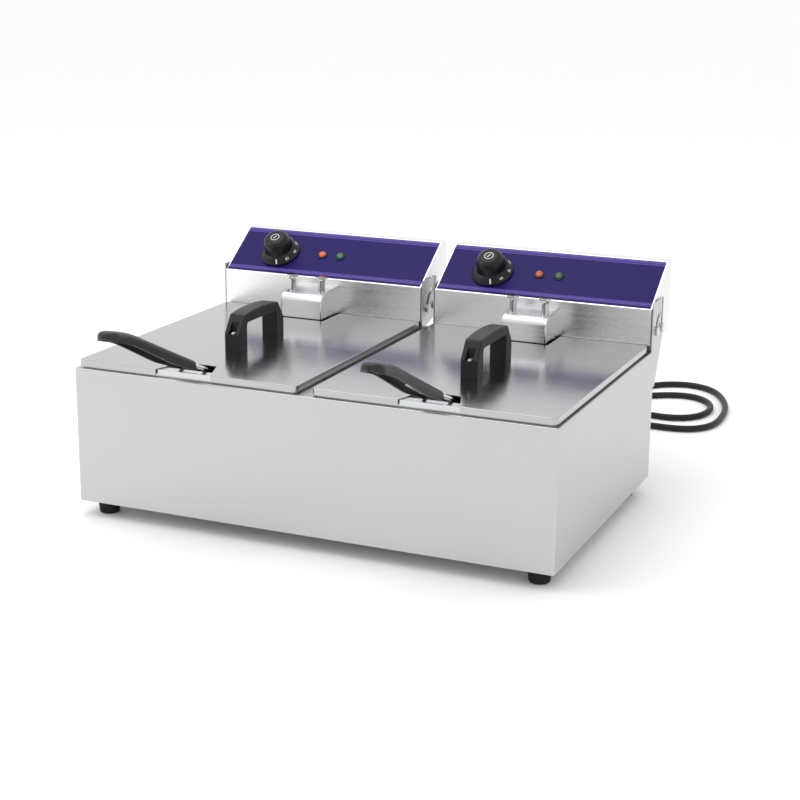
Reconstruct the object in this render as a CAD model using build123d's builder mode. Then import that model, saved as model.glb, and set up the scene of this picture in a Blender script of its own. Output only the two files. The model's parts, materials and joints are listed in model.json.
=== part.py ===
"""Twin-tank countertop deep fryer with tilting control heads, lids and lift-out baskets.

Millimetres, +Z up, +X to the right of someone who stands in front, front towards -Y.
The origin is on the surface that the feet stand on, below the middle of the object.
Heights are written from that surface, and depths from the cabinet's front face.
"""

from build123d import *
import math
import os

os.makedirs("parts", exist_ok=True)

# ---- cabinet ----
cabinet_width = 570.0
cabinet_depth = 360.0
panel_height = 156.0
foot_height = 18.0
sheet = 1.2
corner_radius = 3.0
fit_gap = 0.3
cabinet_top = foot_height + panel_height
half_width = cabinet_width / 2

# ---- feet ----
foot_radius_top = 13.5
foot_radius_bottom = 11.3
foot_inset_x = 23.5
foot_inset_y = 25.0
foot_screw_radius = 2.5
foot_screw_head_radius = 4.6
foot_screw_head_height = 2.6
foot_nut_radius = 4.4
foot_nut_height = 4.0
foot_screw_past_nut = 1.6
recess_depth = 6.0
recess_radius = 6.5
hole_ease = 0.2
foot_span_x = cabinet_width - 2 * foot_inset_x
foot_span_y = cabinet_depth - 2 * foot_inset_y

# ---- tanks ----
tank_width = 236.0
tank_length = 315.0
tank_depth = 150.0
tank_wall = 1.0
tank_corner = 28.0
tank_floor_corner = 14.0
tank_front_gap = 19.0
rim_height = 7.9
rim_inset = 6.4
rim_corner = 5.0
rim_rear_inset = 2.1
rim_top = cabinet_top + rim_height
opening_gap = 1.5
tank_floor = rim_top - tank_depth
tank_middle = tank_front_gap + tank_length / 2

# ---- lids ----
lid_sheet = 1.0
lid_inset = 3.4
lid_gap = 17.2
lid_skirt = 6.8
lid_seat_gap = 0.3
lid_corner = 7.0
lid_head_gap = 2.0
lid_top = rim_top + lid_seat_gap + lid_sheet
lid_width = (cabinet_width - 2 * lid_inset - lid_gap) / 2
lid_centre = lid_gap / 2 + lid_width / 2
notch_front_width = 69.0
notch_rear_width = 42.0
notch_depth = 38.6
notch_offset = -2.0
handle_length = 110.0
handle_width = 20.0
handle_height = 43.0
handle_leg = 19.0
handle_front = 112.0
handle_bar = 13.0
handle_slant_height = 20.0
handle_slant_inset = 14.0
handle_arch = 3.0
pocket_width = 9.0
pocket_depth = 8.0
pocket_height = 19.0
handle_screw_radius = 3.2
handle_screw_head = 2.0

# ---- control heads ----
head_front = 346.6
head_gap = 19.2
head_side_gap = 2.2
head_bottom = rim_top + fit_gap
head_front_height = 43.2
panel_run = 67.6
panel_rise = 45.8
head_roof = 17.8
head_sheet = 1.0
fold_radius = 1.5
head_width = (cabinet_width - 2 * head_side_gap - head_gap) / 2
head_centre = head_gap / 2 + head_width / 2
panel_foot = head_bottom + head_front_height
head_top = panel_foot + panel_rise
head_roof_front = head_front + panel_run
head_rear = head_roof_front + head_roof
panel_length = math.hypot(panel_run, panel_rise)
film_thickness = 0.6
film_margin = 1.8
flange_width = 6.0
cover_inset = 1.5
cover_screw_radius = 1.5
cover_screw_head_radius = 2.6
cover_screw_head = 1.6
cover_screw_length = 8.0
cover_screw_inset = 3.6

# ---- pivots of the heads ----
pivot_depth = head_front + 39.4
pivot_height = head_bottom + 14.8
lock_radius = 22.5
bolt_radius = 3.0
bolt_clearance = 0.08
slot_clearance = 0.35
bolt_head_radius = 5.5
bolt_head_height = 2.6
bolt_nut_radius = 5.0
bolt_nut_height = 4.0
ear_front = head_front + 0.6
ear_rear = head_front + 46.4
ear_top = head_bottom + 50.8
ear_neck = head_bottom + 1.8
ear_foot = cabinet_top - 45.0
ear_foot_rear = 367.0
ear_overlap = 30.0
bracket_gap = 0.1
head_to_ear = head_side_gap - sheet

# ---- heating elements, their covers and the basket posts ----
riser_offset = -3.3
riser_width = 55.0
riser_reach = 49.6
riser_front_top = lid_top + 29.8
riser_rear_top = lid_top + 35.3
riser_bottom = lid_top + 0.6
riser_bevel = 8.0
riser_bevel_depth = 5.0
riser_sheet = 1.0
riser_clearance = 3.6
post_spacing = 40.0
post_radius = 4.2
post_cap_radius = 7.2
post_cap_height = 2.2
post_height = 20.0
post_setback = 17.0
element_radius = 4.25
element_bend = 14.0
element_exit = lid_top + 18.8
element_reach_in = head_front + 21.4
element_leg_setback = 28.6
element_leg_spacing = 30.0
element_clear_floor = 16.0
element_front = 92.0
element_hairpin_front = 118.0
element_rear = 258.0
element_pitch = 40.0
element_height = tank_floor + element_clear_floor
press_gap = 0.05
bulb_radius = 3.0
bulb_front = 150.0
bulb_rear = 240.0
capillary_radius = 1.1
capillary_drop = 10.0
capillary_bends = [12.0, 12.0, 8.0, 3.0, 2.0]

# ---- guards and baskets ----
guard_width = 226.0
guard_front = 32.0
guard_rear = 288.0
guard_sheet = 1.0
guard_clear = 7.5
guard_corner = 14.0
guard_hole_radius = 7.0
guard_hole_pitch = 21.0
guard_leg_inset = 1.0
guard_leg_setback = 40.0
guard_top = element_height + element_radius + guard_clear
basket_width = 214.0
basket_front = 38.0
basket_length = 216.0
basket_height = 106.0
basket_wall = 1.2
basket_corner = 6.0
basket_bottom = guard_top + 0.8
basket_middle = basket_front + basket_length / 2
frame_radius = 2.5
frame_bend = 6.0
wire_spacing = 29.0
wire_spacing_in_grip = 15.6
wire_offset = 0.5
wire_over_rim = 1.2
wire_in_grip = 75.0
rim_wire_height = basket_bottom + basket_height + frame_radius
grip_angle = 24.6
grip_end_angle = 16.6
grip_width = 26.0
grip_above = 6.0
grip_below = 11.0
grip_below_near = 7.0
grip_wall = 3.0
grip_near = 11.0
grip_straight = 135.0
grip_end = 36.0
grip_reach = 158.0
grip_nose_radius = 9.0
grip_nose_drop = 4.2
grip_chin = (4.0, 8.5)
grip_heel = (20.0, 12.4)
grip_belly = 50.0
wire_before_rim = -4.0
wire_past_rim = 2.0
wire_narrowed = 22.0
rise = math.radians(grip_angle)
wire_clear = frame_radius + wire_over_rim

# ---- knobs, lamps and what sits behind the panel ----
knob_offset = -73.0
knob_along = 38.0
skirt_radius = 26.0
skirt_height = 8.0
knob_radius = 18.0
knob_height = 28.0
knob_gap = 0.8
knob_cap = 8.0
spindle_radius = 3.0
spindle_clearance = 0.08
spindle_hole_radius = 5.0
spindle_depth = 15.0
thermostat_size = 34.0
thermostat_depth = 24.0
thermostat_bush_radius = 7.0
thermostat_bush = 3.0
lamp_radius = 5.0
lamp_bezel_radius = 6.4
lamp_proud = 3.6
lamp_depth = 14.0
lamp_along = 40.0
lamp_offsets = {"power_lamp": -13.5, "heat_lamp": 11.5}
block_offset = 50.0
block_depth = 400.0
block_length = 44.0
block_width = 18.0
block_height = 16.0

# ---- cords ----
cord_radius = 4.25
gland_height = pivot_height
gland_flange_radius = 9.0
gland_flange = 3.0
gland_neck_radius = 6.5
gland_nut_radius = 8.0
gland_nut = 6.0
relief_length = 43.0
relief_root_radius = 7.5
relief_tip_radius = 5.3
gland_play = 0.1
coil_radius = 12 * cord_radius
coil_lead = 38.0
tail_rise_run = 22.0
tail_level_run = 24.0
plug_radius = 19.0
plug_body = 22.0
plug_neck = 14.0
plug_neck_radius = 6.5
plug_pin_radius = 2.4
plug_pin_length = 19.0
plug_pin_spacing = 19.0
rear_reach = head_rear + relief_length

front = (grip_reach - rear_reach) / 2
sides = {"left": -1, "right": 1}
upwards = (Align.CENTER, Align.CENTER, Align.MIN)


def level(z, x=0.0, y=0.0):
    """A horizontal plane, its origin at a depth behind the cabinet's front face."""
    return Plane(origin=(x, front + y, z))


def upright(x):
    """A side-on plane: its first axis is depth, its second is height."""
    return Plane(origin=(x, front, 0), x_dir=(0, 1, 0), z_dir=(1, 0, 0))


def facing(y, x=0.0, z=0.0):
    """A plane that faces the front: its first axis runs to the right, its second up."""
    return Plane(origin=(x, front + y, z), x_dir=(1, 0, 0), z_dir=(0, -1, 0))


def sideways(x, y, z):
    """A plane square to the width, for the bolts that run across."""
    return Plane(origin=(x, front + y, z), z_dir=(1, 0, 0))


def panel_plane(x, along, above=0.0):
    """A plane on a slanting control panel, some way up its slope and above its sheet."""
    share = along / panel_length
    y = head_front + share * panel_run - above * panel_rise / panel_length
    z = panel_foot + share * panel_rise + above * panel_run / panel_length
    return Plane(origin=(x, front + y, z), x_dir=(1, 0, 0), z_dir=(0, -panel_rise, panel_run))


def save(piece, name):
    """Label a finished piece and write it."""
    piece.part.label = name
    export_step(piece.part, f"parts/{name}.step")


# ---------------------------------------------------------------- cabinet

slot_track = CenterArc((pivot_depth, pivot_height), lock_radius, 90, 90)


def slot():
    """The branched slot in an ear: a way in, a pivot seat and a curved branch."""
    snug = bolt_radius + bolt_clearance
    wide = bolt_radius + slot_clearance
    mouth = pivot_height + lock_radius
    above = ear_top + 4 - mouth
    with Locations((pivot_depth, pivot_height)):
        Circle(snug, mode=Mode.SUBTRACT)
    with Locations((pivot_depth, pivot_height + lock_radius / 2)):
        Rectangle(2 * snug, lock_radius, mode=Mode.SUBTRACT)
    with Locations((pivot_depth, mouth + above / 2)):
        Rectangle(2 * wide, above, mode=Mode.SUBTRACT)
    SlotArc(arc=slot_track, height=2 * wide, mode=Mode.SUBTRACT)


def side_ear():
    """The outline of an outer ear: it widens upwards behind the cabinet."""
    return [
        (ear_front, cabinet_top - ear_overlap),
        (ear_front, ear_top),
        (ear_rear, ear_top),
        (ear_rear, ear_neck),
        (ear_foot_rear, ear_foot),
        (cabinet_depth, ear_foot),
        (cabinet_depth, cabinet_top - ear_overlap),
    ]


def middle_ear():
    """The outline of an ear in the gap between the heads."""
    return [
        (ear_front, cabinet_top + bracket_gap),
        (ear_front, ear_top),
        (ear_rear, ear_top),
        (ear_rear, ear_neck),
        (cabinet_depth - 2 * sheet, cabinet_top + bracket_gap),
    ]


def cabinet_shell():
    """Front, sides and top of one folded sheet, with the ears that carry the heads."""
    tank_hole = 2 * (tank_wall + opening_gap)
    rear_relief = 2 * (sheet + fit_gap)
    with BuildPart() as shell:
        with BuildSketch(level(foot_height, 0, cabinet_depth / 2)):
            Rectangle(cabinet_width, cabinet_depth)
        extrude(amount=panel_height)
        fillet(shell.edges().filter_by(Axis.Z).group_by(Axis.Y)[0], corner_radius)
        fillet(shell.faces().sort_by(Axis.Z)[-1].edges().filter_by(Axis.Y), sheet)
        with BuildSketch(level(foot_height, 0, sheet + cabinet_depth / 2)):
            Rectangle(cabinet_width - 2 * sheet, cabinet_depth)
        extrude(amount=panel_height - sheet, mode=Mode.SUBTRACT)
        with BuildSketch(level(cabinet_top - 2 * sheet)):
            for sign in sides.values():
                with Locations((sign * lid_centre, tank_middle)):
                    RectangleRounded(tank_width + tank_hole, tank_length + tank_hole, tank_corner)
            with Locations((0, cabinet_depth)):
                Rectangle(cabinet_width - 2 * sheet, rear_relief)
        extrude(amount=3 * sheet, mode=Mode.SUBTRACT)
        for x in (-half_width, half_width - sheet):
            with BuildSketch(upright(x)):
                with BuildLine():
                    Polyline(*side_ear(), close=True)
                make_face()
                slot()
            extrude(amount=sheet)
    save(shell, "cabinet_shell")


def center_bracket():
    """A folded channel between the heads, with two slotted ears."""
    ear_face = head_gap / 2 - head_to_ear
    foot_length = cabinet_depth - 2 * sheet - ear_front
    with BuildPart() as bracket:
        for x in (-ear_face, ear_face - sheet):
            with BuildSketch(upright(x)):
                with BuildLine():
                    Polyline(*middle_ear(), close=True)
                make_face()
                slot()
            extrude(amount=sheet)
        with BuildSketch(level(cabinet_top + bracket_gap, 0, ear_front + foot_length / 2)):
            Rectangle(2 * ear_face, foot_length)
        extrude(amount=sheet)
    save(bracket, "center_bracket")


def rear_panel():
    """The sheet that closes the back; its top edge carries the heads."""
    bottom = foot_height + sheet + fit_gap
    with BuildPart() as panel:
        with BuildSketch(facing(cabinet_depth)):
            with Locations((0, (bottom + rim_top) / 2)):
                Rectangle(cabinet_width - 2 * sheet - 2 * fit_gap, rim_top - bottom)
            with Locations((0, (cabinet_top + rim_top) / 2)):
                Rectangle(head_gap + 2, rim_height + 0.2, mode=Mode.SUBTRACT)
        extrude(amount=sheet)
    save(panel, "rear_panel")


def base_plate():
    """The floor of the cabinet, with a hole for each foot's screw."""
    with BuildPart() as base:
        with BuildSketch(level(foot_height, 0, cabinet_depth / 2)):
            Rectangle(cabinet_width - 2 * sheet - 2 * fit_gap, cabinet_depth - 4 * sheet)
            with GridLocations(foot_span_x, foot_span_y, 2, 2):
                Circle(foot_screw_radius + hole_ease, mode=Mode.SUBTRACT)
        extrude(amount=sheet)
    save(base, "base_plate")


def rubber_feet():
    """Four tapered rubber feet, each with a recess for its screw's head."""
    with BuildPart() as feet:
        with Locations(level(0, 0, cabinet_depth / 2)):
            with GridLocations(foot_span_x, foot_span_y, 2, 2):
                Cone(foot_radius_bottom, foot_radius_top, foot_height, align=upwards)
        fillet(feet.edges().filter_by(GeomType.CIRCLE).group_by(Axis.Z)[0], sheet)
        with Locations(level(0, 0, cabinet_depth / 2)):
            with GridLocations(foot_span_x, foot_span_y, 2, 2):
                Cylinder(recess_radius, recess_depth, align=upwards, mode=Mode.SUBTRACT)
                Cylinder(foot_screw_radius + hole_ease, foot_height, align=upwards,
                         mode=Mode.SUBTRACT)
    save(feet, "rubber_feet")


def foot_screws():
    """Four screws that hold the feet, each with its nut above the base plate."""
    grip = foot_height + sheet - recess_depth
    with BuildPart() as screws:
        with Locations(level(recess_depth - foot_screw_head_height, 0, cabinet_depth / 2)):
            with GridLocations(foot_span_x, foot_span_y, 2, 2):
                Cylinder(foot_screw_head_radius, foot_screw_head_height, align=upwards)
        with Locations(level(recess_depth, 0, cabinet_depth / 2)):
            with GridLocations(foot_span_x, foot_span_y, 2, 2):
                Cylinder(foot_screw_radius, grip + foot_nut_height + foot_screw_past_nut, align=upwards)
        with BuildSketch(level(foot_height + sheet, 0, cabinet_depth / 2)):
            with GridLocations(foot_span_x, foot_span_y, 2, 2):
                RegularPolygon(foot_nut_radius, 6)
        extrude(amount=foot_nut_height)
    save(screws, "foot_screws")


def tank(side, sign):
    """A deep drawn tank with a raised, turned-down rim."""
    x = sign * lid_centre
    rim_rear = head_front - lid_head_gap - rim_rear_inset
    rim_width = lid_width - 2 * (rim_inset - lid_inset)
    rim_length = rim_rear - rim_inset
    rim_middle = (rim_inset + rim_rear) / 2
    rim_bottom = cabinet_top + fit_gap
    with BuildPart() as hollow:
        with BuildSketch(level(tank_floor, x, tank_middle)):
            RectangleRounded(tank_width, tank_length, tank_corner - tank_wall)
        extrude(amount=tank_depth + 1)
        fillet(hollow.faces().sort_by(Axis.Z)[0].edges(), tank_floor_corner - tank_wall)
    with BuildPart() as drawn:
        with BuildSketch(level(tank_floor - tank_wall, x, tank_middle)):
            RectangleRounded(tank_width + 2 * tank_wall, tank_length + 2 * tank_wall, tank_corner)
        extrude(amount=tank_depth + tank_wall)
        fillet(drawn.faces().sort_by(Axis.Z)[0].edges(), tank_floor_corner)
    with BuildPart() as bowl:
        with BuildSketch(level(rim_bottom, x, rim_middle)):
            RectangleRounded(rim_width, rim_length, rim_corner)
        extrude(amount=rim_top - rim_bottom)
        with BuildSketch(level(rim_bottom, x, rim_middle)):
            RectangleRounded(rim_width - 2 * tank_wall, rim_length - 2 * tank_wall,
                             rim_corner - tank_wall)
        extrude(amount=rim_top - rim_bottom - tank_wall, mode=Mode.SUBTRACT)
        add(drawn.part)
        add(hollow.part, mode=Mode.SUBTRACT)
    save(bowl, f"{side}_tank")


# ---------------------------------------------------------------- lids

def lid_pan(side, sign):
    """A folded lid with a notch for the basket's handle and one for the element."""
    x = sign * lid_centre
    lid_rear = head_front - lid_head_gap
    length = lid_rear - lid_inset
    middle = (lid_inset + lid_rear) / 2
    skirt_bottom = lid_top - lid_skirt
    notch_rear = lid_inset + notch_depth
    notch_x = x + notch_offset
    cut_front = head_front - riser_reach - riser_clearance
    cut_width = riser_width + 2 * riser_clearance
    beyond = 5.0
    with BuildPart() as pan:
        with BuildSketch(level(skirt_bottom, x, middle)):
            RectangleRounded(lid_width, length, lid_corner)
        extrude(amount=lid_skirt)
        fillet(pan.faces().sort_by(Axis.Z)[-1].edges(), 0.8 * lid_sheet)
        with BuildSketch(level(skirt_bottom, x, middle)):
            RectangleRounded(lid_width - 2 * lid_sheet, length - 2 * lid_sheet,
                             lid_corner - lid_sheet)
        extrude(amount=lid_skirt - lid_sheet, mode=Mode.SUBTRACT)
        with BuildSketch(level(skirt_bottom - 1)):
            with BuildLine():
                Polyline(
                    (notch_x - notch_front_width / 2, lid_inset - beyond),
                    (notch_x - notch_front_width / 2, lid_inset),
                    (notch_x - notch_rear_width / 2, notch_rear),
                    (notch_x + notch_rear_width / 2, notch_rear),
                    (notch_x + notch_front_width / 2, lid_inset),
                    (notch_x + notch_front_width / 2, lid_inset - beyond),
                    close=True,
                )
            make_face()
            with Locations((sign * head_centre + riser_offset, (cut_front + lid_rear + beyond) / 2)):
                Rectangle(cut_width, lid_rear + beyond - cut_front)
        extrude(amount=lid_skirt + 3, mode=Mode.SUBTRACT)
    save(pan, f"{side}_lid_pan")


def lid_handle(side, sign):
    """A moulded bridge handle: two legs with slanting shoulders and a gently arched bar."""
    x = sign * lid_centre
    centre = handle_front + handle_length / 2
    half = handle_length / 2
    shoulder = half - handle_slant_inset
    side_top = lid_top + handle_height - handle_arch
    gap = handle_length - 2 * handle_leg
    gap_top = lid_top + handle_height - handle_bar
    with BuildPart() as handle:
        with BuildSketch(upright(x - handle_width / 2)):
            with BuildLine():
                Polyline(
                    (centre - shoulder, side_top),
                    (centre - half, lid_top + handle_slant_height),
                    (centre - half, lid_top),
                    (centre + half, lid_top),
                    (centre + half, lid_top + handle_slant_height),
                    (centre + shoulder, side_top),
                )
                ThreePointArc(
                    (centre + shoulder, side_top),
                    (centre, lid_top + handle_height),
                    (centre - shoulder, side_top),
                )
            make_face()
            with Locations((centre, (lid_top + gap_top) / 2 - 1)):
                Rectangle(gap, gap_top - lid_top + 2, mode=Mode.SUBTRACT)
        extrude(amount=handle_width)
        fillet(handle.edges().filter_by(Axis.X).filter_by_position(
            Axis.Z, gap_top - 1, lid_top + handle_height), 4)
        rims = handle.faces().sort_by(Axis.X)[0].edges() + handle.faces().sort_by(Axis.X)[-1].edges()
        fillet([edge for edge in rims if edge.center().Z > lid_top + 0.5], 1.6)
        for turn in (-1, 1):
            foot = level(lid_top + pocket_height, x, centre + turn * (half - pocket_depth / 2))
            with Locations(foot):
                Box(pocket_width, pocket_depth + 1, handle_height, align=upwards,
                    mode=Mode.SUBTRACT)
    save(handle, f"{side}_lid_handle")


def lid_handle_screws(side, sign):
    """One screw on the ledge of each leg's pocket."""
    centre = handle_front + handle_length / 2
    reach = handle_length / 2 - pocket_depth / 2
    with BuildPart() as screws:
        for turn in (-1, 1):
            with Locations(level(lid_top + pocket_height, sign * lid_centre, centre + turn * reach)):
                Cylinder(handle_screw_radius, handle_screw_head, align=upwards)
        fillet(screws.edges().group_by(Axis.Z)[-1], 0.8)
    save(screws, f"{side}_lid_handle_screws")


# ---------------------------------------------------------------- baskets

def element_guard(side, sign):
    """A perforated plate on two folded legs that keeps the basket off the element."""
    x = sign * lid_centre
    length = guard_rear - guard_front
    middle = (guard_front + guard_rear) / 2
    leg_bottom = tank_floor + tank_floor_corner + fit_gap
    leg_height = guard_top - guard_sheet / 2 - leg_bottom
    leg_x = guard_width / 2 - guard_leg_inset
    columns = math.floor((guard_width - 2 * guard_corner) / guard_hole_pitch) + 1
    rows = math.floor((length - 2 * guard_corner) / guard_hole_pitch) + 1
    with BuildPart() as guard:
        with BuildSketch(level(guard_top - guard_sheet, x, middle)):
            RectangleRounded(guard_width, length, guard_corner)
            with GridLocations(guard_hole_pitch, guard_hole_pitch, columns, rows):
                Circle(guard_hole_radius, mode=Mode.SUBTRACT)
        extrude(amount=guard_sheet)
        for spot in (-leg_x, leg_x - guard_sheet):
            with BuildSketch(upright(x + spot)):
                with Locations((middle, leg_bottom + leg_height / 2)):
                    Rectangle(length - 2 * guard_leg_setback, leg_height)
            extrude(amount=guard_sheet)
    save(guard, f"{side}_element_guard")


def basket_mesh(side, sign):
    """The basket's walls and floor, as a thin open box."""
    x = sign * lid_centre
    inner_width = basket_width - 2 * basket_wall
    inner_length = basket_length - 2 * basket_wall
    with BuildPart() as box:
        with BuildSketch(level(basket_bottom, x, basket_middle)):
            RectangleRounded(basket_width, basket_length, basket_corner)
        extrude(amount=basket_height)
        with BuildSketch(level(basket_bottom + basket_wall, x, basket_middle)):
            RectangleRounded(inner_width, inner_length, basket_corner - basket_wall)
        extrude(amount=basket_height, mode=Mode.SUBTRACT)
    save(box, f"{side}_basket_mesh")



def on_grip(along, above, angle=0.0):
    """Depth and height of a point on the grip's slope, counted from the tank's front edge."""
    y = tank_front_gap + wire_clear * math.sin(rise)
    z = rim_top + wire_clear * math.cos(rise)
    y += above * math.sin(rise) - along * math.cos(rise)
    z += above * math.cos(rise) + along * math.sin(rise)
    return (y, z)


def handle_wire(x, turn):
    """One of the two wires from the basket's front, over the tank's edge and into the grip."""
    wide = x + turn * wire_spacing / 2
    narrow = x + turn * wire_spacing_in_grip / 2
    over = on_grip(wire_before_rim, 0)
    edge = on_grip(wire_past_rim, 0)
    inside = on_grip(wire_narrowed, 0)
    end = on_grip(wire_in_grip, 0)
    start_y = basket_front + basket_wall / 2
    return [
        (wide, front + start_y, rim_wire_height),
        (wide, front + over[0], over[1]),
        (wide, front + edge[0], edge[1]),
        (narrow, front + inside[0], inside[1]),
        (narrow, front + end[0], end[1]),
    ]


def basket_frame(side, sign):
    """The basket's rim wire, with the two wires that run up into the grip."""
    x = sign * lid_centre
    half_x = (basket_width - basket_wall) / 2
    half_y = (basket_length - basket_wall) / 2
    middle_y = front + basket_middle
    bend = basket_corner - basket_wall / 2
    z = rim_wire_height
    with BuildPart() as frame:
        with BuildLine() as rim:
            Line((x, middle_y - half_y, z), (x + half_x - bend, middle_y - half_y, z))
            for turn in range(4):
                corner_x = x + (half_x - bend) * (1 if turn in (0, 1) else -1)
                corner_y = middle_y + (half_y - bend) * (1 if turn in (1, 2) else -1)
                arc = CenterArc((corner_x, corner_y, z), bend, 90 * turn - 90, 90)
                after = (
                    (x + half_x, middle_y + half_y - bend, z),
                    (x - half_x + bend, middle_y + half_y, z),
                    (x - half_x, middle_y - half_y + bend, z),
                    (x, middle_y - half_y, z),
                )[turn]
                Line(arc @ 1, after)
        with BuildSketch(Plane(origin=rim.line @ 0, z_dir=(1, 0, 0))):
            Circle(frame_radius)
        sweep()
        for turn in (-1, 1):
            with BuildLine() as wire:
                FilletPolyline(*handle_wire(x + wire_offset, turn), radius=frame_bend)
            with BuildSketch(Plane(origin=wire.line @ 0, z_dir=wire.line % 0)):
                Circle(frame_radius)
            sweep()
    save(frame, f"{side}_basket_frame")


def grip_outline(inset):
    """The grip's outline from the side; an inset gives the hollow, open below."""
    near = on_grip(0, 0)[0] - grip_near
    start = near / math.cos(rise) + inset
    top = grip_above - inset
    bend = on_grip(grip_straight, top)
    flat = math.radians(grip_end_angle)
    run = grip_end - inset
    end = (bend[0] - run * math.cos(flat), bend[1] + run * math.sin(flat))
    if inset:
        low = on_grip(start, -2 * grip_below)
        tip = (end[0] - inset, end[1] - 2 * inset)
        return [on_grip(start, top), bend, end, tip, (tip[0], tip[1] - grip_below), low]
    nose = (-grip_reach, end[1] - grip_nose_drop)
    chin = (-grip_reach + grip_chin[0], end[1] - grip_chin[1])
    heel = (-grip_reach + grip_heel[0], end[1] - grip_heel[1])
    belly = on_grip(grip_belly, -grip_below)
    return [on_grip(start, top), bend, end, nose, chin, heel, belly,
            on_grip(start, -grip_below_near)]


def basket_grip(side, sign):
    """A moulded grip: a long shell, open below, with a rounded nose."""
    x = sign * lid_centre + wire_offset
    length = grip_near + grip_reach
    with BuildPart() as wires:
        for turn in (-1, 1):
            with BuildLine() as wire:
                FilletPolyline(*handle_wire(x, turn), radius=frame_bend)
            with BuildSketch(Plane(origin=wire.line @ 0, z_dir=wire.line % 0)):
                Circle(frame_radius + press_gap)
            sweep()
    with BuildPart() as grip:
        with BuildSketch(upright(x - grip_width / 2)):
            with BuildLine():
                Polyline(*grip_outline(0), close=True)
            make_face()
        extrude(amount=grip_width)
        with BuildSketch(level(rim_top - 10, x, (grip_near + 10 - grip_reach) / 2)):
            RectangleRounded(grip_width, length + 10, grip_nose_radius)
        extrude(amount=150, mode=Mode.INTERSECT)
        with BuildSketch(upright(x - grip_width / 2 + grip_wall)):
            with BuildLine():
                Polyline(*grip_outline(grip_wall), close=True)
            make_face()
        extrude(amount=grip_width - 2 * grip_wall, mode=Mode.SUBTRACT)
        add(wires.part, mode=Mode.SUBTRACT)
    save(grip, f"{side}_basket_grip")


# ---------------------------------------------------------------- control heads

def head_outline(rear):
    """A head's outline from the side: upright front, slanting panel, short roof."""
    return [
        (head_front, head_bottom),
        (head_front, panel_foot),
        (head_roof_front, head_top),
        (rear, head_top),
        (rear, head_bottom),
    ]


def lock_points():
    """Depth and height of the two bolts on each side of a head."""
    return [(pivot_depth, pivot_height), (pivot_depth - lock_radius, pivot_height)]


def head_housing(side, sign):
    """A folded housing, open at the back between its flanges."""
    x = sign * head_centre
    flange = head_rear - head_sheet
    riser_x = x + riser_offset
    middle_z = (head_bottom + head_top) / 2
    with BuildPart() as housing:
        with BuildSketch(upright(x - head_width / 2)):
            with BuildLine():
                Polyline(*head_outline(flange), close=True)
            make_face()
        extrude(amount=head_width)
        folds = housing.edges().filter_by(Axis.X)
        fillet(folds.filter_by_position(Axis.Z, panel_foot - 1, panel_foot + 1), fold_radius)
        fillet(housing.edges().filter_by(Axis.X).group_by(Axis.Z)[-1], fold_radius)
        with BuildSketch(upright(x - head_width / 2 + head_sheet)):
            with BuildLine():
                Polyline(*head_outline(flange), close=True)
            make_face()
            offset(amount=-head_sheet, kind=Kind.INTERSECTION, mode=Mode.REPLACE)
        extrude(amount=head_width - 2 * head_sheet, mode=Mode.SUBTRACT)
        with BuildSketch(facing(head_rear, x, middle_z)):
            Rectangle(head_width - 2 * flange_width, head_top - head_bottom - 2 * flange_width)
        extrude(amount=3 * head_sheet, mode=Mode.SUBTRACT)
        for offset_x in lamp_offsets.values():
            with Locations(panel_plane(x + offset_x, lamp_along)):
                Cylinder(lamp_radius + press_gap, 6 * head_sheet, mode=Mode.SUBTRACT)
        with Locations(panel_plane(x + knob_offset, knob_along)):
            Cylinder(spindle_hole_radius, 6 * head_sheet, mode=Mode.SUBTRACT)
        for turn in (-1, 1):
            with Locations(facing(head_front, riser_x + turn * element_leg_spacing / 2, element_exit)):
                Cylinder(element_radius + press_gap, 4 * head_sheet, mode=Mode.SUBTRACT)
        with Locations(facing(head_front, riser_x, element_exit)):
            Cylinder(capillary_radius + press_gap, 4 * head_sheet, mode=Mode.SUBTRACT)
        for y, z in lock_points():
            with Locations(sideways(x, y, z)):
                Cylinder(bolt_radius + press_gap, head_width + 2, mode=Mode.SUBTRACT)
        for spot_x, spot_z in cover_screw_spots(x):
            with Locations(facing(head_rear, spot_x, spot_z)):
                Cylinder(cover_screw_radius + press_gap, 6 * head_sheet, mode=Mode.SUBTRACT)
    save(housing, f"{side}_head_housing")


def cover_screw_spots(x):
    """Where the rear cover's screws stand: four along the top and four below."""
    reach = head_width / 2 - cover_screw_inset
    rows = (head_bottom + cover_screw_inset, head_top - cover_screw_inset)
    return [(x + share * reach, z) for share in (-1, -1 / 3, 1 / 3, 1) for z in rows]


def rear_cover(side, sign):
    """The flat cover on a head's back, with the hole for the cord's gland."""
    x = sign * head_centre
    with BuildPart() as cover:
        with BuildSketch(facing(head_rear, x, (head_bottom + head_top) / 2)):
            RectangleRounded(head_width - 2 * cover_inset,
                             head_top - head_bottom - 2 * cover_inset, cover_inset)
        extrude(amount=head_sheet)
        with Locations(facing(head_rear, x, gland_height)):
            Cylinder(gland_neck_radius + press_gap, 4 * head_sheet, mode=Mode.SUBTRACT)
        for spot_x, spot_z in cover_screw_spots(x):
            with Locations(facing(head_rear, spot_x, spot_z)):
                Cylinder(cover_screw_radius + press_gap, 4 * head_sheet, mode=Mode.SUBTRACT)
    save(cover, f"{side}_rear_cover")


def rear_cover_screws(side, sign):
    """Eight pan-head screws through the cover into the housing's flanges."""
    with BuildPart() as screws:
        for spot_x, spot_z in cover_screw_spots(sign * head_centre):
            outwards = Plane(origin=(spot_x, front + head_rear, spot_z), z_dir=(0, 1, 0))
            with Locations(outwards):
                Cylinder(cover_screw_head_radius, cover_screw_head, align=upwards)
            with Locations(outwards.offset(-cover_screw_length)):
                Cylinder(cover_screw_radius, cover_screw_length, align=upwards)
        fillet(screws.edges().group_by(Axis.Y)[-1], 0.7)
    save(screws, f"{side}_rear_cover_screws")


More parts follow.
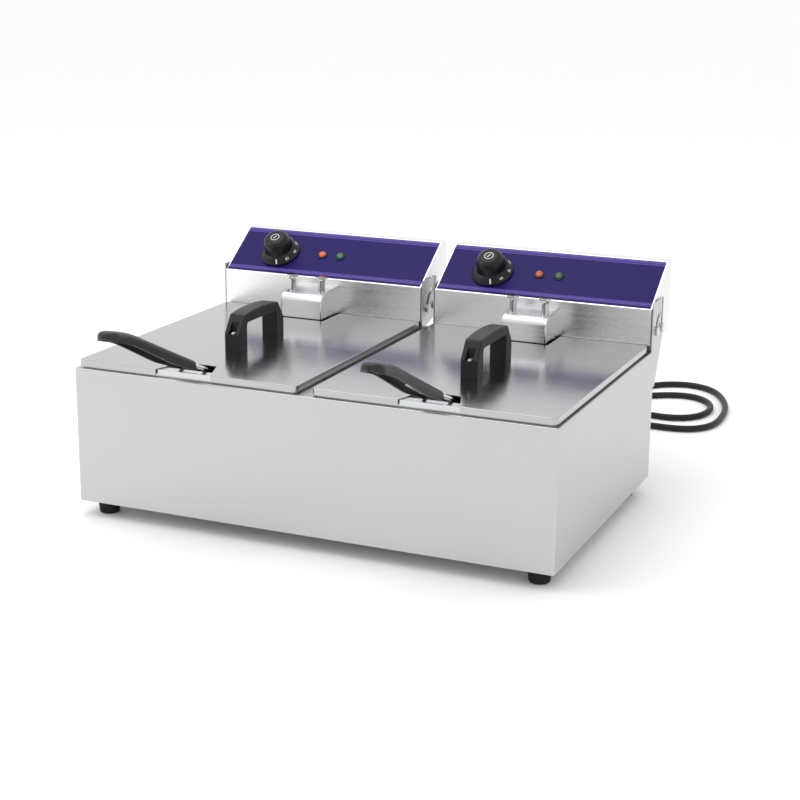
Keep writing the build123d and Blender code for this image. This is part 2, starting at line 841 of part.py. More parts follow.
def control_panel(side, sign):
    """A thin printed film on the slanting panel."""
    x = sign * head_centre
    with BuildPart() as film:
        with BuildSketch(panel_plane(x, panel_length / 2)):
            Rectangle(head_width - 2 * film_margin, panel_length - 2 * film_margin)
        extrude(amount=film_thickness)
        for offset_x in lamp_offsets.values():
            with Locations(panel_plane(x + offset_x, lamp_along)):
                Cylinder(lamp_radius + press_gap, 4 * film_thickness, mode=Mode.SUBTRACT)
        with Locations(panel_plane(x + knob_offset, knob_along)):
            Cylinder(spindle_hole_radius, 4 * film_thickness, mode=Mode.SUBTRACT)
    save(film, f"{side}_control_panel")


def riser_top_at(y):
    """The height of a riser cover's sloping top at a depth."""
    slope = (riser_rear_top - riser_front_top) / riser_reach
    return riser_front_top + slope * (y - head_front + riser_reach)


def riser_outline():
    """A riser cover from the side: a bevelled front edge and a sloping top."""
    riser_front = head_front - riser_reach
    bevel_rear = riser_front + riser_bevel_depth
    return [
        (riser_front, riser_bottom),
        (riser_front, riser_front_top - riser_bevel),
        (bevel_rear, riser_top_at(bevel_rear)),
        (head_front, riser_rear_top),
        (head_front, riser_bottom),
    ]


def riser_cover(side, sign):
    """A folded cover over the element's legs, open below and behind."""
    x = sign * head_centre + riser_offset
    with BuildPart() as cover:
        with BuildSketch(upright(x - riser_width / 2)):
            with BuildLine():
                Polyline(*riser_outline(), close=True)
            make_face()
        extrude(amount=riser_width)
        with BuildSketch(upright(x - riser_width / 2 + riser_sheet)):
            with BuildLine():
                Polyline(*riser_outline(), close=True)
            make_face()
            offset(amount=-riser_sheet, kind=Kind.INTERSECTION, mode=Mode.REPLACE)
            with Locations((head_front - riser_sheet, riser_bottom)):
                Rectangle(2 * riser_reach - 4 * riser_sheet, 4 * riser_sheet)
            with Locations((head_front, (riser_bottom + riser_rear_top) / 2 - riser_sheet)):
                Rectangle(4 * riser_sheet, riser_rear_top - riser_bottom - riser_sheet)
        extrude(amount=riser_width - 2 * riser_sheet, mode=Mode.SUBTRACT)
    save(cover, f"{side}_riser_cover")


def basket_posts(side, sign):
    """Two flared posts on the riser cover that a basket hooks onto to drain."""
    y = head_front - riser_reach + post_setback
    foot = riser_top_at(y - 2 * post_radius)
    top = riser_top_at(y) + post_height
    slope = (riser_rear_top - riser_front_top) / riser_reach
    with BuildPart() as posts:
        for turn in (-1, 1):
            x = sign * head_centre + riser_offset + turn * post_spacing / 2
            with BuildSketch(Plane(origin=(x, front + y, 0), x_dir=(1, 0, 0), z_dir=(0, -1, 0))):
                with BuildLine():
                    neck = top - post_cap_height
                    Polyline((0, foot), (post_radius, foot), (post_radius, neck - 5))
                    Spline((post_radius, neck - 5), (post_cap_radius, neck),
                           tangents=[(0, 1), (1, 0.4)])
                    Polyline((post_cap_radius, neck), (post_cap_radius, top), (0, top), (0, foot))
                make_face()
            revolve(axis=Axis((x, front + y, 0), (0, 0, 1)))
        cut = Plane(origin=(0, front + y, riser_top_at(y)), z_dir=(0, -slope, 1))
        split(bisect_by=cut, keep=Keep.TOP)
        fillet(posts.edges().group_by(Axis.Z)[-1], 0.6)
    save(posts, f"{side}_basket_posts")


def heating_element(side, sign):
    """One bent tube: two legs, a long loop and two hairpins."""
    x = sign * head_centre + riser_offset
    leg_y = head_front - element_leg_setback
    leg = element_leg_spacing / 2
    inner = leg + element_pitch
    outer = inner + element_pitch
    half = [
        (leg, element_reach_in, element_exit),
        (leg, leg_y, element_exit),
        (leg, leg_y, element_height),
        (leg, element_hairpin_front, element_height),
        (inner, element_hairpin_front, element_height),
        (inner, element_rear, element_height),
        (outer, element_rear, element_height),
        (outer, element_front, element_height),
    ]
    right = [(x + across, front + y, z) for across, y, z in half]
    left = [(x - across, front + y, z) for across, y, z in half]
    with BuildPart() as element:
        with BuildLine() as route:
            FilletPolyline(*left, *reversed(right), radius=element_bend)
        with BuildSketch(Plane(origin=route.line @ 0, z_dir=route.line % 0)):
            Circle(element_radius)
        sweep()
    save(element, f"{side}_heating_element")


def thermostat(side, sign):
    """The thermostat behind the panel, with a bush that the knob's spindle turns in."""
    x = sign * head_centre + knob_offset
    body = panel_plane(x, knob_along, -head_sheet - thermostat_bush - thermostat_depth)
    with BuildPart() as control:
        with BuildSketch(body):
            RectangleRounded(thermostat_size, thermostat_size, 3)
        extrude(amount=thermostat_depth)
        with Locations(panel_plane(x, knob_along, -head_sheet - thermostat_bush)):
            Cylinder(thermostat_bush_radius, thermostat_bush - press_gap, align=upwards)
        with Locations(panel_plane(x, knob_along, -head_sheet - spindle_depth)):
            Cylinder(spindle_radius + spindle_clearance, spindle_depth, align=upwards,
                     mode=Mode.SUBTRACT)
    save(control, f"{side}_thermostat")


def knob_spindle(side, sign):
    """The spindle that a knob turns, one piece from the bush to inside the knob."""
    x = sign * head_centre + knob_offset
    bottom = -head_sheet - spindle_depth + fit_gap
    top = film_thickness + knob_gap + knob_height - knob_cap
    with BuildPart() as spindle:
        with Locations(panel_plane(x, knob_along, bottom)):
            Cylinder(spindle_radius, top - bottom, align=upwards)
    save(spindle, f"{side}_knob_spindle")


def knob(side, sign):
    """A knob with a wide skirt and a tapered body, bored for its spindle."""
    x = sign * head_centre + knob_offset
    bottom = film_thickness + knob_gap
    with BuildPart() as dial:
        with Locations(panel_plane(x, knob_along, bottom)):
            Cylinder(skirt_radius, skirt_height, align=upwards)
        axis_z = panel_plane(x, knob_along, bottom).z_dir
        fillet(dial.edges().filter_by(GeomType.CIRCLE).sort_by(Axis(
            panel_plane(x, knob_along).origin, axis_z))[-1], 2.5)
        with Locations(panel_plane(x, knob_along, bottom + skirt_height - 1)):
            Cone(knob_radius + 1, knob_radius, knob_height - skirt_height + 1, align=upwards)
        fillet(dial.edges().filter_by(GeomType.CIRCLE).sort_by(Axis(
            panel_plane(x, knob_along).origin, axis_z))[-1], 2)
        with Locations(panel_plane(x, knob_along, bottom)):
            Cylinder(spindle_radius + press_gap / 2, knob_height - knob_cap, align=upwards,
                     mode=Mode.SUBTRACT)
    save(dial, f"{side}_knob")


def lamp(side, sign, name):
    """A pilot lamp: a domed lens with a bezel, and its body behind the panel."""
    x = sign * head_centre + lamp_offsets[name]
    with BuildPart() as lens:
        with Locations(panel_plane(x, lamp_along, -lamp_depth)):
            Cylinder(lamp_radius, lamp_depth + film_thickness + lamp_proud, align=upwards)
        axis_z = panel_plane(x, lamp_along).z_dir
        fillet(lens.edges().filter_by(GeomType.CIRCLE).sort_by(Axis(
            panel_plane(x, lamp_along).origin, axis_z))[-1], 2.4)
        with Locations(panel_plane(x, lamp_along, film_thickness)):
            Cylinder(lamp_bezel_radius, 1, align=upwards)
    save(lens, f"{side}_{name}")


def thermostat_bulb(side, sign):
    """The sensing bulb among the element's hairpins, with its capillary up to the thermostat."""
    x = sign * head_centre + riser_offset
    knob_x = sign * head_centre + knob_offset
    leg_y = head_front - element_leg_setback
    low = -head_sheet - thermostat_bush - thermostat_depth
    entry = panel_plane(knob_x, knob_along, low)
    below = panel_plane(knob_x, knob_along, low - capillary_drop)
    route_points = [
        (x, front + bulb_rear - 1, element_height),
        (x, front + leg_y, element_height),
        (x, front + leg_y, element_exit),
        (x, below.origin.Y, element_exit),
        (knob_x, below.origin.Y, element_exit),
        tuple(below.origin),
        tuple(entry.origin),
    ]
    with BuildPart() as bulb:
        with BuildLine() as route:
            FilletPolyline(*route_points, radius=capillary_bends)
        with BuildSketch(Plane(origin=route.line @ 0, z_dir=route.line % 0)):
            Circle(capillary_radius)
        sweep()
        with Locations(Plane(origin=(x, front + bulb_front, element_height), z_dir=(0, 1, 0))):
            Cylinder(bulb_radius, bulb_rear - bulb_front, align=upwards)
        fillet(bulb.edges().filter_by(GeomType.CIRCLE).group_by(Axis.Y)[0], 1.5)
    save(bulb, f"{side}_thermostat_bulb")


def terminal_block(side, sign):
    """The block on the head's floor where the cord's wires are clamped."""
    x = sign * head_centre + block_offset
    foot = head_bottom + head_sheet
    with BuildPart() as block:
        with BuildSketch(level(foot, x, block_depth)):
            RectangleRounded(block_length, block_width, 1.5)
        extrude(amount=block_height)
        with Locations(level(foot + block_height, x, block_depth)):
            with GridLocations(block_length / 4, 0, 4, 1):
                Cylinder(3, 6, mode=Mode.SUBTRACT)
    save(block, f"{side}_terminal_block")


def pivot_bolts(side, sign):
    """Four bolts through the head's sides, two in each ear's slot, with nuts inside."""
    gap = head_to_ear + sheet + fit_gap
    with BuildPart() as bolts:
        for turn in (-1, 1):
            wall = sign * head_centre + turn * head_width / 2
            for y, z in lock_points():
                inwards = Plane(origin=(wall + turn * gap, front + y, z), z_dir=(-turn, 0, 0))
                with Locations(inwards.offset(-bolt_head_height)):
                    Cylinder(bolt_head_radius, bolt_head_height, align=upwards)
                with Locations(inwards):
                    Cylinder(bolt_radius, gap + head_sheet + bolt_nut_height + 1.5, align=upwards)
                with BuildSketch(inwards.offset(gap + head_sheet)):
                    RegularPolygon(bolt_nut_radius, 6)
                extrude(amount=bolt_nut_height)
    save(bolts, f"{side}_pivot_bolts")


def cord_gland(side, sign):
    """The cord's bush in the rear cover, with the tapered relief that carries the cord out."""
    out = Plane(origin=(sign * head_centre, front + head_rear, gland_height), z_dir=(0, 1, 0))
    with BuildPart() as gland:
        with Locations(out):
            Cylinder(gland_flange_radius, gland_flange, align=upwards)
        fillet(gland.edges().group_by(Axis.Y)[-1], 1)
        with Locations(out.offset(gland_flange)):
            Cone(relief_root_radius, relief_tip_radius, relief_length - gland_flange, align=upwards)
        with Locations(out.offset(-head_sheet - gland_play)):
            Cylinder(gland_neck_radius, head_sheet + 2 * gland_play, align=upwards)
        with Locations(out.offset(-head_sheet - gland_nut)):
            Cylinder(gland_nut_radius, gland_nut, align=upwards)
    save(gland, f"{side}_cord_gland")


# ---------------------------------------------------------------- cords

# Each route starts at the relief's tip and ends where its coil begins.
cord_routes = {
    "right": [
        (146.2, 475.4, 197.0), (146.2, 501.0, 196.0), (146.2, 525.0, 181.0),
        (146.0, 537.0, 156.0), (145.5, 541.0, 112.0), (144.5, 544.0, 72.0),
        (142.8, 552.0, 44.0), (140.5, 567.0, 21.0), (139.0, 592.0, 7.0),
        (138.0, 622.0, 4.25), (147.0, 650.0, 4.25), (172.0, 669.0, 4.25),
        (203.0, 671.0, 4.25), (232.0, 668.0, 4.25), (257.0, 679.0, 4.25),
        (272.0, 703.0, 4.25), (275.0, 738.0, 4.25), (262.0, 773.0, 4.25),
        (233.0, 793.0, 4.25), (200.0, 786.0, 4.25), (168.0, 763.0, 4.25),
        (138.0, 740.0, 4.25), (104.0, 722.0, 4.25), (70.2, 712.5, 4.25),
        (38.3, 700.9, 4.25),
    ],
    "left": [
        (-146.2, 475.4, 197.0), (-146.2, 501.0, 196.0), (-146.2, 525.0, 181.0),
        (-146.0, 537.0, 156.0), (-145.5, 541.0, 112.0), (-145.0, 543.0, 72.0),
        (-141.0, 545.0, 44.0), (-129.0, 546.0, 21.0), (-105.0, 545.0, 7.0),
        (-74.0, 540.0, 4.25), (-30.0, 530.0, 4.25), (22.0, 515.0, 4.25),
        (76.0, 503.0, 4.25), (120.0, 506.0, 4.25), (150.0, 526.0, 4.25),
        (163.0, 559.0, 4.25), (169.0, 592.0, 4.25), (188.0, 615.0, 4.25),
        (217.0, 621.0, 4.25), (247.0, 619.0, 4.25), (274.0, 626.0, 4.25),
        (293.0, 648.0, 4.25), (299.0, 684.0, 4.25), (294.0, 748.0, 4.25),
        (274.0, 806.0, 4.25), (250.0, 841.0, 4.25), (217.0, 855.0, 4.25),
        (184.0, 845.0, 4.25), (160.4, 821.3, 4.25), (138.5, 796.3, 4.25),
    ],
}

# Which way each coil turns, and how far round its ring the plug's end leaves it.
coil_turning = {"right": 1, "left": -1}
coil_exit = {"right": 340.0, "left": 50.0}
coil_turns = {"right": 2, "left": 2}


def corner_radii(points):
    """Each corner's radius: 0.45 of its shorter run over the tangent of half its turn."""
    radii = []
    for before, here, after in zip(points, points[1:], points[2:]):
        arriving = Vector(*here) - Vector(*before)
        leaving = Vector(*after) - Vector(*here)
        half_turn = math.radians(arriving.get_angle(leaving)) / 2
        radii.append(0.45 * min(arriving.length, leaving.length) / math.tan(half_turn))
    return radii


def cord_tube(side):
    """A mains cord from its relief to its coil: straight runs joined by tangent arcs."""
    points = [(x, front + y, z) for x, y, z in cord_routes[side]]
    radii = corner_radii(points)
    with BuildPart() as cord:
        with BuildLine() as route:
            FilletPolyline(*points, radius=radii)
        with BuildSketch(Plane(origin=route.line @ 0, z_dir=route.line % 0)):
            Circle(cord_radius)
        sweep()
    save(cord, f"{side}_cord")
    length = sum(edge.length for edge in route.line.edges())
    section = math.pi * cord_radius**2
    print(f"{side} cord: tube {length:.0f} mm, volume over section times length "
          f"{cord.part.volume / (section * length):.4f}, radii "
          + " ".join(f"{radius:.0f}" for radius in radii))
    return length


def coil_layout(side):
    """Where a coil's ring stands, where the cord leaves it and in which direction."""
    last, end = cord_routes[side][-2:]
    heading = math.atan2(end[1] - last[1], end[0] - last[0])
    turning = coil_turning[side]
    inwards = heading + turning * math.pi / 2
    start = Vector(*end) + Vector(math.cos(heading), math.sin(heading)) * coil_lead
    centre = start + Vector(math.cos(inwards), math.sin(inwards)) * coil_radius
    out = heading + turning * math.radians(coil_exit[side])
    direction = Vector(math.cos(out), math.sin(out))
    outwards = Vector(math.cos(out - turning * math.pi / 2), math.sin(out - turning * math.pi / 2))
    leave = centre + outwards * coil_radius + Vector(0, 0, 2 * cord_radius)
    return heading, centre, leave, direction


def tail_points(side):
    """The cord's last stretch, which climbs from the coil's upper layer to the plug's axis."""
    heading, centre, leave, direction = coil_layout(side)
    climb = Vector(0, 0, plug_radius - leave.Z)
    crest = leave + direction * tail_rise_run + climb
    return [leave, crest, crest + direction * tail_level_run]


def moved(point):
    """A point of the cords' layout in the object's own frame."""
    return Vector(point.X, front + point.Y, point.Z)


def cord_coil(side):
    """The wound-up length as one solid, with the stretches that lead in and out."""
    heading, centre, leave, direction = coil_layout(side)
    begin = moved(Vector(*cord_routes[side][-1]))
    along = (math.cos(heading), math.sin(heading), 0)
    tail = [moved(point) for point in tail_points(side)]
    with BuildPart() as ring:
        with BuildSketch(level(0, centre.X, centre.Y)):
            Circle(coil_radius + 2 * cord_radius)
            Circle(coil_radius - 2 * cord_radius, mode=Mode.SUBTRACT)
        extrude(amount=4 * cord_radius)
        fillet(ring.edges(), cord_radius - 0.5)
        with Locations(Plane(origin=begin, z_dir=along)):
            Cylinder(cord_radius, coil_lead, align=upwards)
        with BuildLine() as route:
            FilletPolyline(*tail, radius=corner_radii([tuple(spot) for spot in tail]))
        with BuildSketch(Plane(origin=route.line @ 0, z_dir=route.line % 0)):
            Circle(cord_radius)
        sweep()
    save(ring, f"{side}_cord_coil")
    around = 2 * math.pi * coil_radius * (coil_turns[side] + coil_exit[side] / 360)
    return coil_lead + around + sum(edge.length for edge in route.line.edges())


def cord_plug(side):
    """A round two-pin plug that lies on its side, its neck on the cord's end."""
    end = moved(tail_points(side)[-1])
    direction = coil_layout(side)[-1]
    face = Plane(origin=end, x_dir=(-direction.Y, direction.X, 0), z_dir=direction)
    with BuildPart() as plug:
        with Locations(face):
            Cone(plug_neck_radius, 0.7 * plug_radius, plug_neck, align=upwards)
        with Locations(face.offset(plug_neck)):
            Cylinder(plug_radius, plug_body, align=upwards)
        with Locations(face.offset(plug_neck + plug_body)):
            with GridLocations(plug_pin_spacing, 0, 2, 1):
                Cylinder(plug_pin_radius, plug_pin_length, align=upwards)
    save(plug, f"{side}_plug")


cabinet_shell()
center_bracket()
rear_panel()
base_plate()
rubber_feet()
foot_screws()
for side, sign in sides.items():
    tank(side, sign)
    lid_pan(side, sign)
    lid_handle(side, sign)
    lid_handle_screws(side, sign)
    element_guard(side, sign)
    basket_mesh(side, sign)
    basket_frame(side, sign)
    basket_grip(side, sign)
    head_housing(side, sign)
    rear_cover(side, sign)
    rear_cover_screws(side, sign)
    control_panel(side, sign)
    riser_cover(side, sign)
    basket_posts(side, sign)
    heating_element(side, sign)
    thermostat(side, sign)
    knob_spindle(side, sign)
    knob(side, sign)
    for name in lamp_offsets:
        lamp(side, sign, name)
    thermostat_bulb(side, sign)
    terminal_block(side, sign)
    pivot_bolts(side, sign)
    cord_gland(side, sign)
    total = cord_tube(side) + cord_coil(side)
    cord_plug(side)
    print(f"{side} cord: {total:.0f} mm from its relief to its plug")
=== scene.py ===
# %% [markdown]
# # A twin-tank deep fryer
# The fryer is bent stainless sheet, two lids, two tilting heads with a purple panel,
# black moulded handles and two mains cords. The solid model is loaded first as a fixed
# frame. Everything below either gives one of its parts a finish, or builds a better
# looking piece that stands for it.

# %% Load the frame
import json
import math
import bmesh
import bpy
from mathutils import Matrix, Vector

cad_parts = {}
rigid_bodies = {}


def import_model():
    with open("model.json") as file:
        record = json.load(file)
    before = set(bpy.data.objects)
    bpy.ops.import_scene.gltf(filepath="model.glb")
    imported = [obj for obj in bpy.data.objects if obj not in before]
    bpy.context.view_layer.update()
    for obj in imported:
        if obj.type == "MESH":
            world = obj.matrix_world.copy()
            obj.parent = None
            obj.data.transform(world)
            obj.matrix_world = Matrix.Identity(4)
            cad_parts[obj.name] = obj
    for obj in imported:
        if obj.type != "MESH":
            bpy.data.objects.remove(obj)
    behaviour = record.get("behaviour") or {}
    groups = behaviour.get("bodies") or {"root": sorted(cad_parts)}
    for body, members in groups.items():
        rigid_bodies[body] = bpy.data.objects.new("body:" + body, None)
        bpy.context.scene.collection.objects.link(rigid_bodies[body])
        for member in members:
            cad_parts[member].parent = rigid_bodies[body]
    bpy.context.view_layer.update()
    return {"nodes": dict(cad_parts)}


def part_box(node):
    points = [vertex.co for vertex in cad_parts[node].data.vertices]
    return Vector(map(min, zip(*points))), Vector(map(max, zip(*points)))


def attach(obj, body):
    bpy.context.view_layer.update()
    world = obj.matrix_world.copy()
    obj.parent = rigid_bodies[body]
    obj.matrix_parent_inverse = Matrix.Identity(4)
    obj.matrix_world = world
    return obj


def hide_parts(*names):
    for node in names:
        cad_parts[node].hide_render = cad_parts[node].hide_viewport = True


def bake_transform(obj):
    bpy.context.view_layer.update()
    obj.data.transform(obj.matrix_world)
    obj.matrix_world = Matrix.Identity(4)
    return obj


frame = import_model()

nodes = frame["nodes"]
SIDES = {"left": -1, "right": 1}
HEAD_CENTRE, LID_CENTRE = 146.2, 145.1
HEAD_FRONT, HEAD_REAR = 346.6, 432.0
CORD_HEIGHT = 197.0
print(len(nodes), "parts in the frame")

# %% [markdown]
# ## Depths and heights
# A maker measures this fryer from the front face of its cabinet, so one small helper
# turns a width, a depth behind that face and a height, all in millimetres, into a point
# of the frame in metres. The cabinet's own box says where the front face is.

# %% A point from the cabinet's front
CABINET_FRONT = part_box("cabinet_shell")[0][1]


def spot(x, depth, height):
    """A point from millimetres: across, behind the front face, above the feet."""
    return Vector((x / 1000, CABINET_FRONT + depth / 1000, height / 1000))


print("front face at", round(CABINET_FRONT, 4))

# %% [markdown]
# ## Camera
# A long lens from the front right and a little above gives a calm, nearly parallel look,
# where a short lens would spread the near corner. A tracking constraint could aim it, but
# three angles also give it its slight roll, so they are used here.

# %% The camera
AZIMUTH, ELEVATION, ROLL = (math.radians(a) for a in (23.23, 15.54, 0.54))
FOCAL_LENGTH = 75.26
CAMERA_PLACE = (767, -1524, 644.7)


def make_camera():
    """A long lens, turned to the left, tipped down and rolled by half a degree."""
    forward = Vector((-math.sin(AZIMUTH) * math.cos(ELEVATION),
                      math.cos(AZIMUTH) * math.cos(ELEVATION), -math.sin(ELEVATION)))
    level_right = Vector((math.cos(AZIMUTH), math.sin(AZIMUTH), 0))
    level_up = level_right.cross(forward)
    right = math.cos(ROLL) * level_right + math.sin(ROLL) * level_up
    up = math.cos(ROLL) * level_up - math.sin(ROLL) * level_right
    camera = bpy.data.objects.new("camera", bpy.data.cameras.new("camera"))
    camera.data.lens = FOCAL_LENGTH
    camera.matrix_world = Matrix((right, up, -forward)).transposed().to_4x4()
    camera.location = spot(*CAMERA_PLACE)
    bpy.context.collection.objects.link(camera)
    bpy.context.scene.camera = camera
    return camera


print("camera at", tuple(round(c, 3) for c in make_camera().location))

# %% [markdown]
# ## Floor and light
# Polished sheet has hardly any colour of its own: it shows what stands around it. So the
# room is a pale, even tent, with large soft lamps for the highlights, and a darker band
# low down and behind the camera that the metal can pick up as gentle shading.

# %% The floor
FLOOR_SIZE = 60.0
FLOOR_DROP = 0.0004


def make_floor():
    """A wide pale floor, a hair below the feet."""
    bpy.ops.mesh.primitive_plane_add(size=FLOOR_SIZE, location=(0, 0, -FLOOR_DROP))
    floor = bpy.context.object
    floor.name = "floor"
    material = bpy.data.materials.new("floor_paper")
    material.use_nodes = True
    shader = material.node_tree.nodes["Principled BSDF"]
    shader.inputs["Base Color"].default_value = (0.97, 0.97, 0.97, 1)
    shader.inputs["Roughness"].default_value = 0.75
    floor.data.materials.append(material)
    return floor


print("floor", make_floor().dimensions.x, "m wide")

# %% The tent
def make_tent():
    """A world that is white behind and above, and a little darker in front of the object."""
    world = bpy.data.worlds.new("tent")
    world.use_nodes = True
    tree = world.node_tree
    background = tree.nodes["Background"]
    place = tree.nodes.new("ShaderNodeTexCoord")
    front = tree.nodes.new("ShaderNodeVectorMath")
    front.operation = "DOT_PRODUCT"
    front.inputs[1].default_value = (0.0, -0.95, -0.3)
    tree.links.new(place.outputs["Generated"], front.inputs[0])
    ramp = tree.nodes.new("ShaderNodeValToRGB")
    tree.links.new(front.outputs["Value"], ramp.inputs["Fac"])
    walls = ramp.color_ramp
    walls.elements[0].position, walls.elements[0].color = 0.25, (1, 1, 1, 1)
    walls.elements[1].position, walls.elements[1].color = 1.0, (0.74, 0.745, 0.75, 1)
    walls.elements.new(0.62).color = (0.90, 0.90, 0.905, 1)
    tree.links.new(ramp.outputs["Color"], background.inputs["Color"])
    background.inputs["Strength"].default_value = 1.02
    bpy.context.scene.world = world


make_tent()
print("tent of even light")

# %% The lamps
def make_lamp(name, place, target, size, power):
    """A large soft lamp that points at a target."""
    light = bpy.data.lights.new(name, "AREA")
    light.shape = "RECTANGLE"
    light.size, light.size_y = size
    light.energy = power
    lamp = bpy.data.objects.new(name, light)
    lamp.location = place
    lamp.rotation_euler = (Vector(target) - Vector(place)).to_track_quat("-Z", "Y").to_euler()
    bpy.context.collection.objects.link(lamp)
    return lamp


make_lamp("top_lamp", (-0.5, -0.2, 2.2), (0, 0, 0.1), (1.8, 1.4), 14)
make_lamp("left_lamp", (-2.0, -1.2, 1.4), (0, 0, 0.1), (1.2, 1.2), 9)
bpy.context.scene.view_settings.view_transform = "Standard"
print("two soft lamps")

# %% [markdown]
# ## Turned pieces
# Plugs, bushes, knobs and posts are round, so they are built as on a lathe: a list of
# radii and heights is spun round an axis. A seat is the matrix that puts the axis where
# the piece stands. Edges that turn more than a set angle stay crisp, the rest is smooth.

# %% Seats and finished pieces
def seat_at(origin, axis, across=(1, 0, 0)):
    """The matrix of a seat: its Z is the axis, its X lies along the given direction."""
    z = Vector(axis).normalized()
    x = (Vector(across) - z * z.dot(Vector(across))).normalized()
    return Matrix.LocRotScale(origin, Matrix((x, z.cross(x), z)).transposed(), None)


def dressed(piece, finish):
    """Notes which finish a piece takes."""
    piece["finish"] = finish
    return piece


def finished(mesh, name, body, material_slot, crisp=35, flat_over=None):
    """An object from a bmesh, smooth but for its crisp edges, that rides on a body."""
    data = bpy.data.meshes.new(name)
    bmesh.ops.remove_doubles(mesh, verts=mesh.verts, dist=1e-6)
    bmesh.ops.recalc_face_normals(mesh, faces=mesh.faces)
    mesh.to_mesh(data)
    mesh.free()
    data.shade_smooth()
    data.set_sharp_from_angle(angle=math.radians(crisp))
    for face in data.polygons:
        face.use_smooth = flat_over is None or face.area < flat_over
    piece = bpy.data.objects.new(name, data)
    bpy.context.collection.objects.link(piece)
    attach(piece, body)
    return dressed(piece, material_slot)


# %% The lathe
def spin(mesh, profile, seat, segments=64, twist=0.0):
    """Adds a turned shape: pairs of radius and height, in millimetres, from foot to tip."""
    rings = []
    for step, (radius, height) in enumerate(profile):
        ring = []
        for turn in range(segments):
            angle = 2 * math.pi * (turn + twist * step) / segments
            point = Vector((radius * math.cos(angle), radius * math.sin(angle), height)) / 1000
            ring.append(mesh.verts.new(seat @ point))
        rings.append(ring)
    for low, high in zip(rings, rings[1:]):
        for turn in range(segments):
            after = (turn + 1) % segments
            if twist:
                mesh.faces.new((low[turn], low[after], high[turn]))
                mesh.faces.new((low[after], high[after], high[turn]))
            else:
                mesh.faces.new((low[turn], low[after], high[after], high[turn]))
    mesh.faces.new(rings[0])
    mesh.faces.new(rings[-1])


print("the lathe is ready")

# %% [markdown]
# ## The two mains cords
# Each cord is a rubber cable of about 1.8 m, eight and a half millimetres thick. It
# leaves the back of its head through a relief, hangs in a stiff bow, reaches the floor
# and wanders to a coil of a few turns with the plug beside it. The line is a NURBS
# spline of order three: its points pull on it without being touched, which gives
# the long easy bends of a heavy cable. The turns of the coil are points of the same line.

# %% The cords' routes
CORD_RADIUS = 4.25
COIL_RADIUS = 12 * CORD_RADIUS
COIL_LEAD = 38.0
LAYER = 2.05 * CORD_RADIUS
PLUG_RADIUS = 19.0

cord_routes = {
    "right": [
        (146.2, 475.4, 197.0), (146.2, 501.0, 196.0), (146.2, 525.0, 181.0),
        (146.0, 537.0, 156.0), (145.5, 541.0, 112.0), (144.5, 544.0, 72.0),
        (142.8, 552.0, 44.0), (140.5, 567.0, 21.0), (139.0, 592.0, 7.0),
        (138.0, 622.0, 4.25), (147.0, 650.0, 4.25), (172.0, 669.0, 4.25),
        (203.0, 671.0, 4.25), (232.0, 668.0, 4.25), (257.0, 679.0, 4.25),
        (272.0, 703.0, 4.25), (275.0, 738.0, 4.25), (262.0, 773.0, 4.25),
        (233.0, 793.0, 4.25), (200.0, 786.0, 4.25), (168.0, 763.0, 4.25),
        (138.0, 740.0, 4.25), (104.0, 722.0, 4.25), (70.2, 712.5, 4.25),
        (38.3, 700.9, 4.25),
    ],
    "left": [
        (-146.2, 475.4, 197.0), (-146.2, 501.0, 196.0), (-146.2, 525.0, 181.0),
        (-146.0, 537.0, 156.0), (-145.5, 541.0, 112.0), (-145.0, 543.0, 72.0),
        (-141.0, 545.0, 44.0), (-129.0, 546.0, 21.0), (-105.0, 545.0, 7.0),
        (-74.0, 540.0, 4.25), (-30.0, 530.0, 4.25), (22.0, 515.0, 4.25),
        (76.0, 503.0, 4.25), (120.0, 506.0, 4.25), (150.0, 526.0, 4.25),
        (163.0, 559.0, 4.25), (169.0, 592.0, 4.25), (188.0, 615.0, 4.25),
        (217.0, 621.0, 4.25), (247.0, 619.0, 4.25), (274.0, 626.0, 4.25),
        (293.0, 648.0, 4.25), (299.0, 684.0, 4.25), (294.0, 748.0, 4.25),
        (274.0, 806.0, 4.25), (250.0, 841.0, 4.25), (217.0, 855.0, 4.25),
        (184.0, 845.0, 4.25), (160.4, 821.3, 4.25), (138.5, 796.3, 4.25),
    ],
}
coil_turning = {"right": 1, "left": -1}
coil_exit = {"right": 340.0, "left": 50.0}
print("route points:", {side: len(route) for side, route in cord_routes.items()})

# %% [markdown]
# A coil is easy to describe and tedious to place by hand, so its control points come from
# a small rule: turn by a fixed step, shrink over the first round, and climb on to it.

# %% The coil
COIL_STEP = 15.0
PLUG_REACH = ((8, 3 * CORD_RADIUS), (22, PLUG_RADIUS), (46, PLUG_RADIUS))


def between(low, high, share):
    """An even change from one value to another that stops at both ends."""
    return low + (high - low) * max(0.0, min(1.0, share))


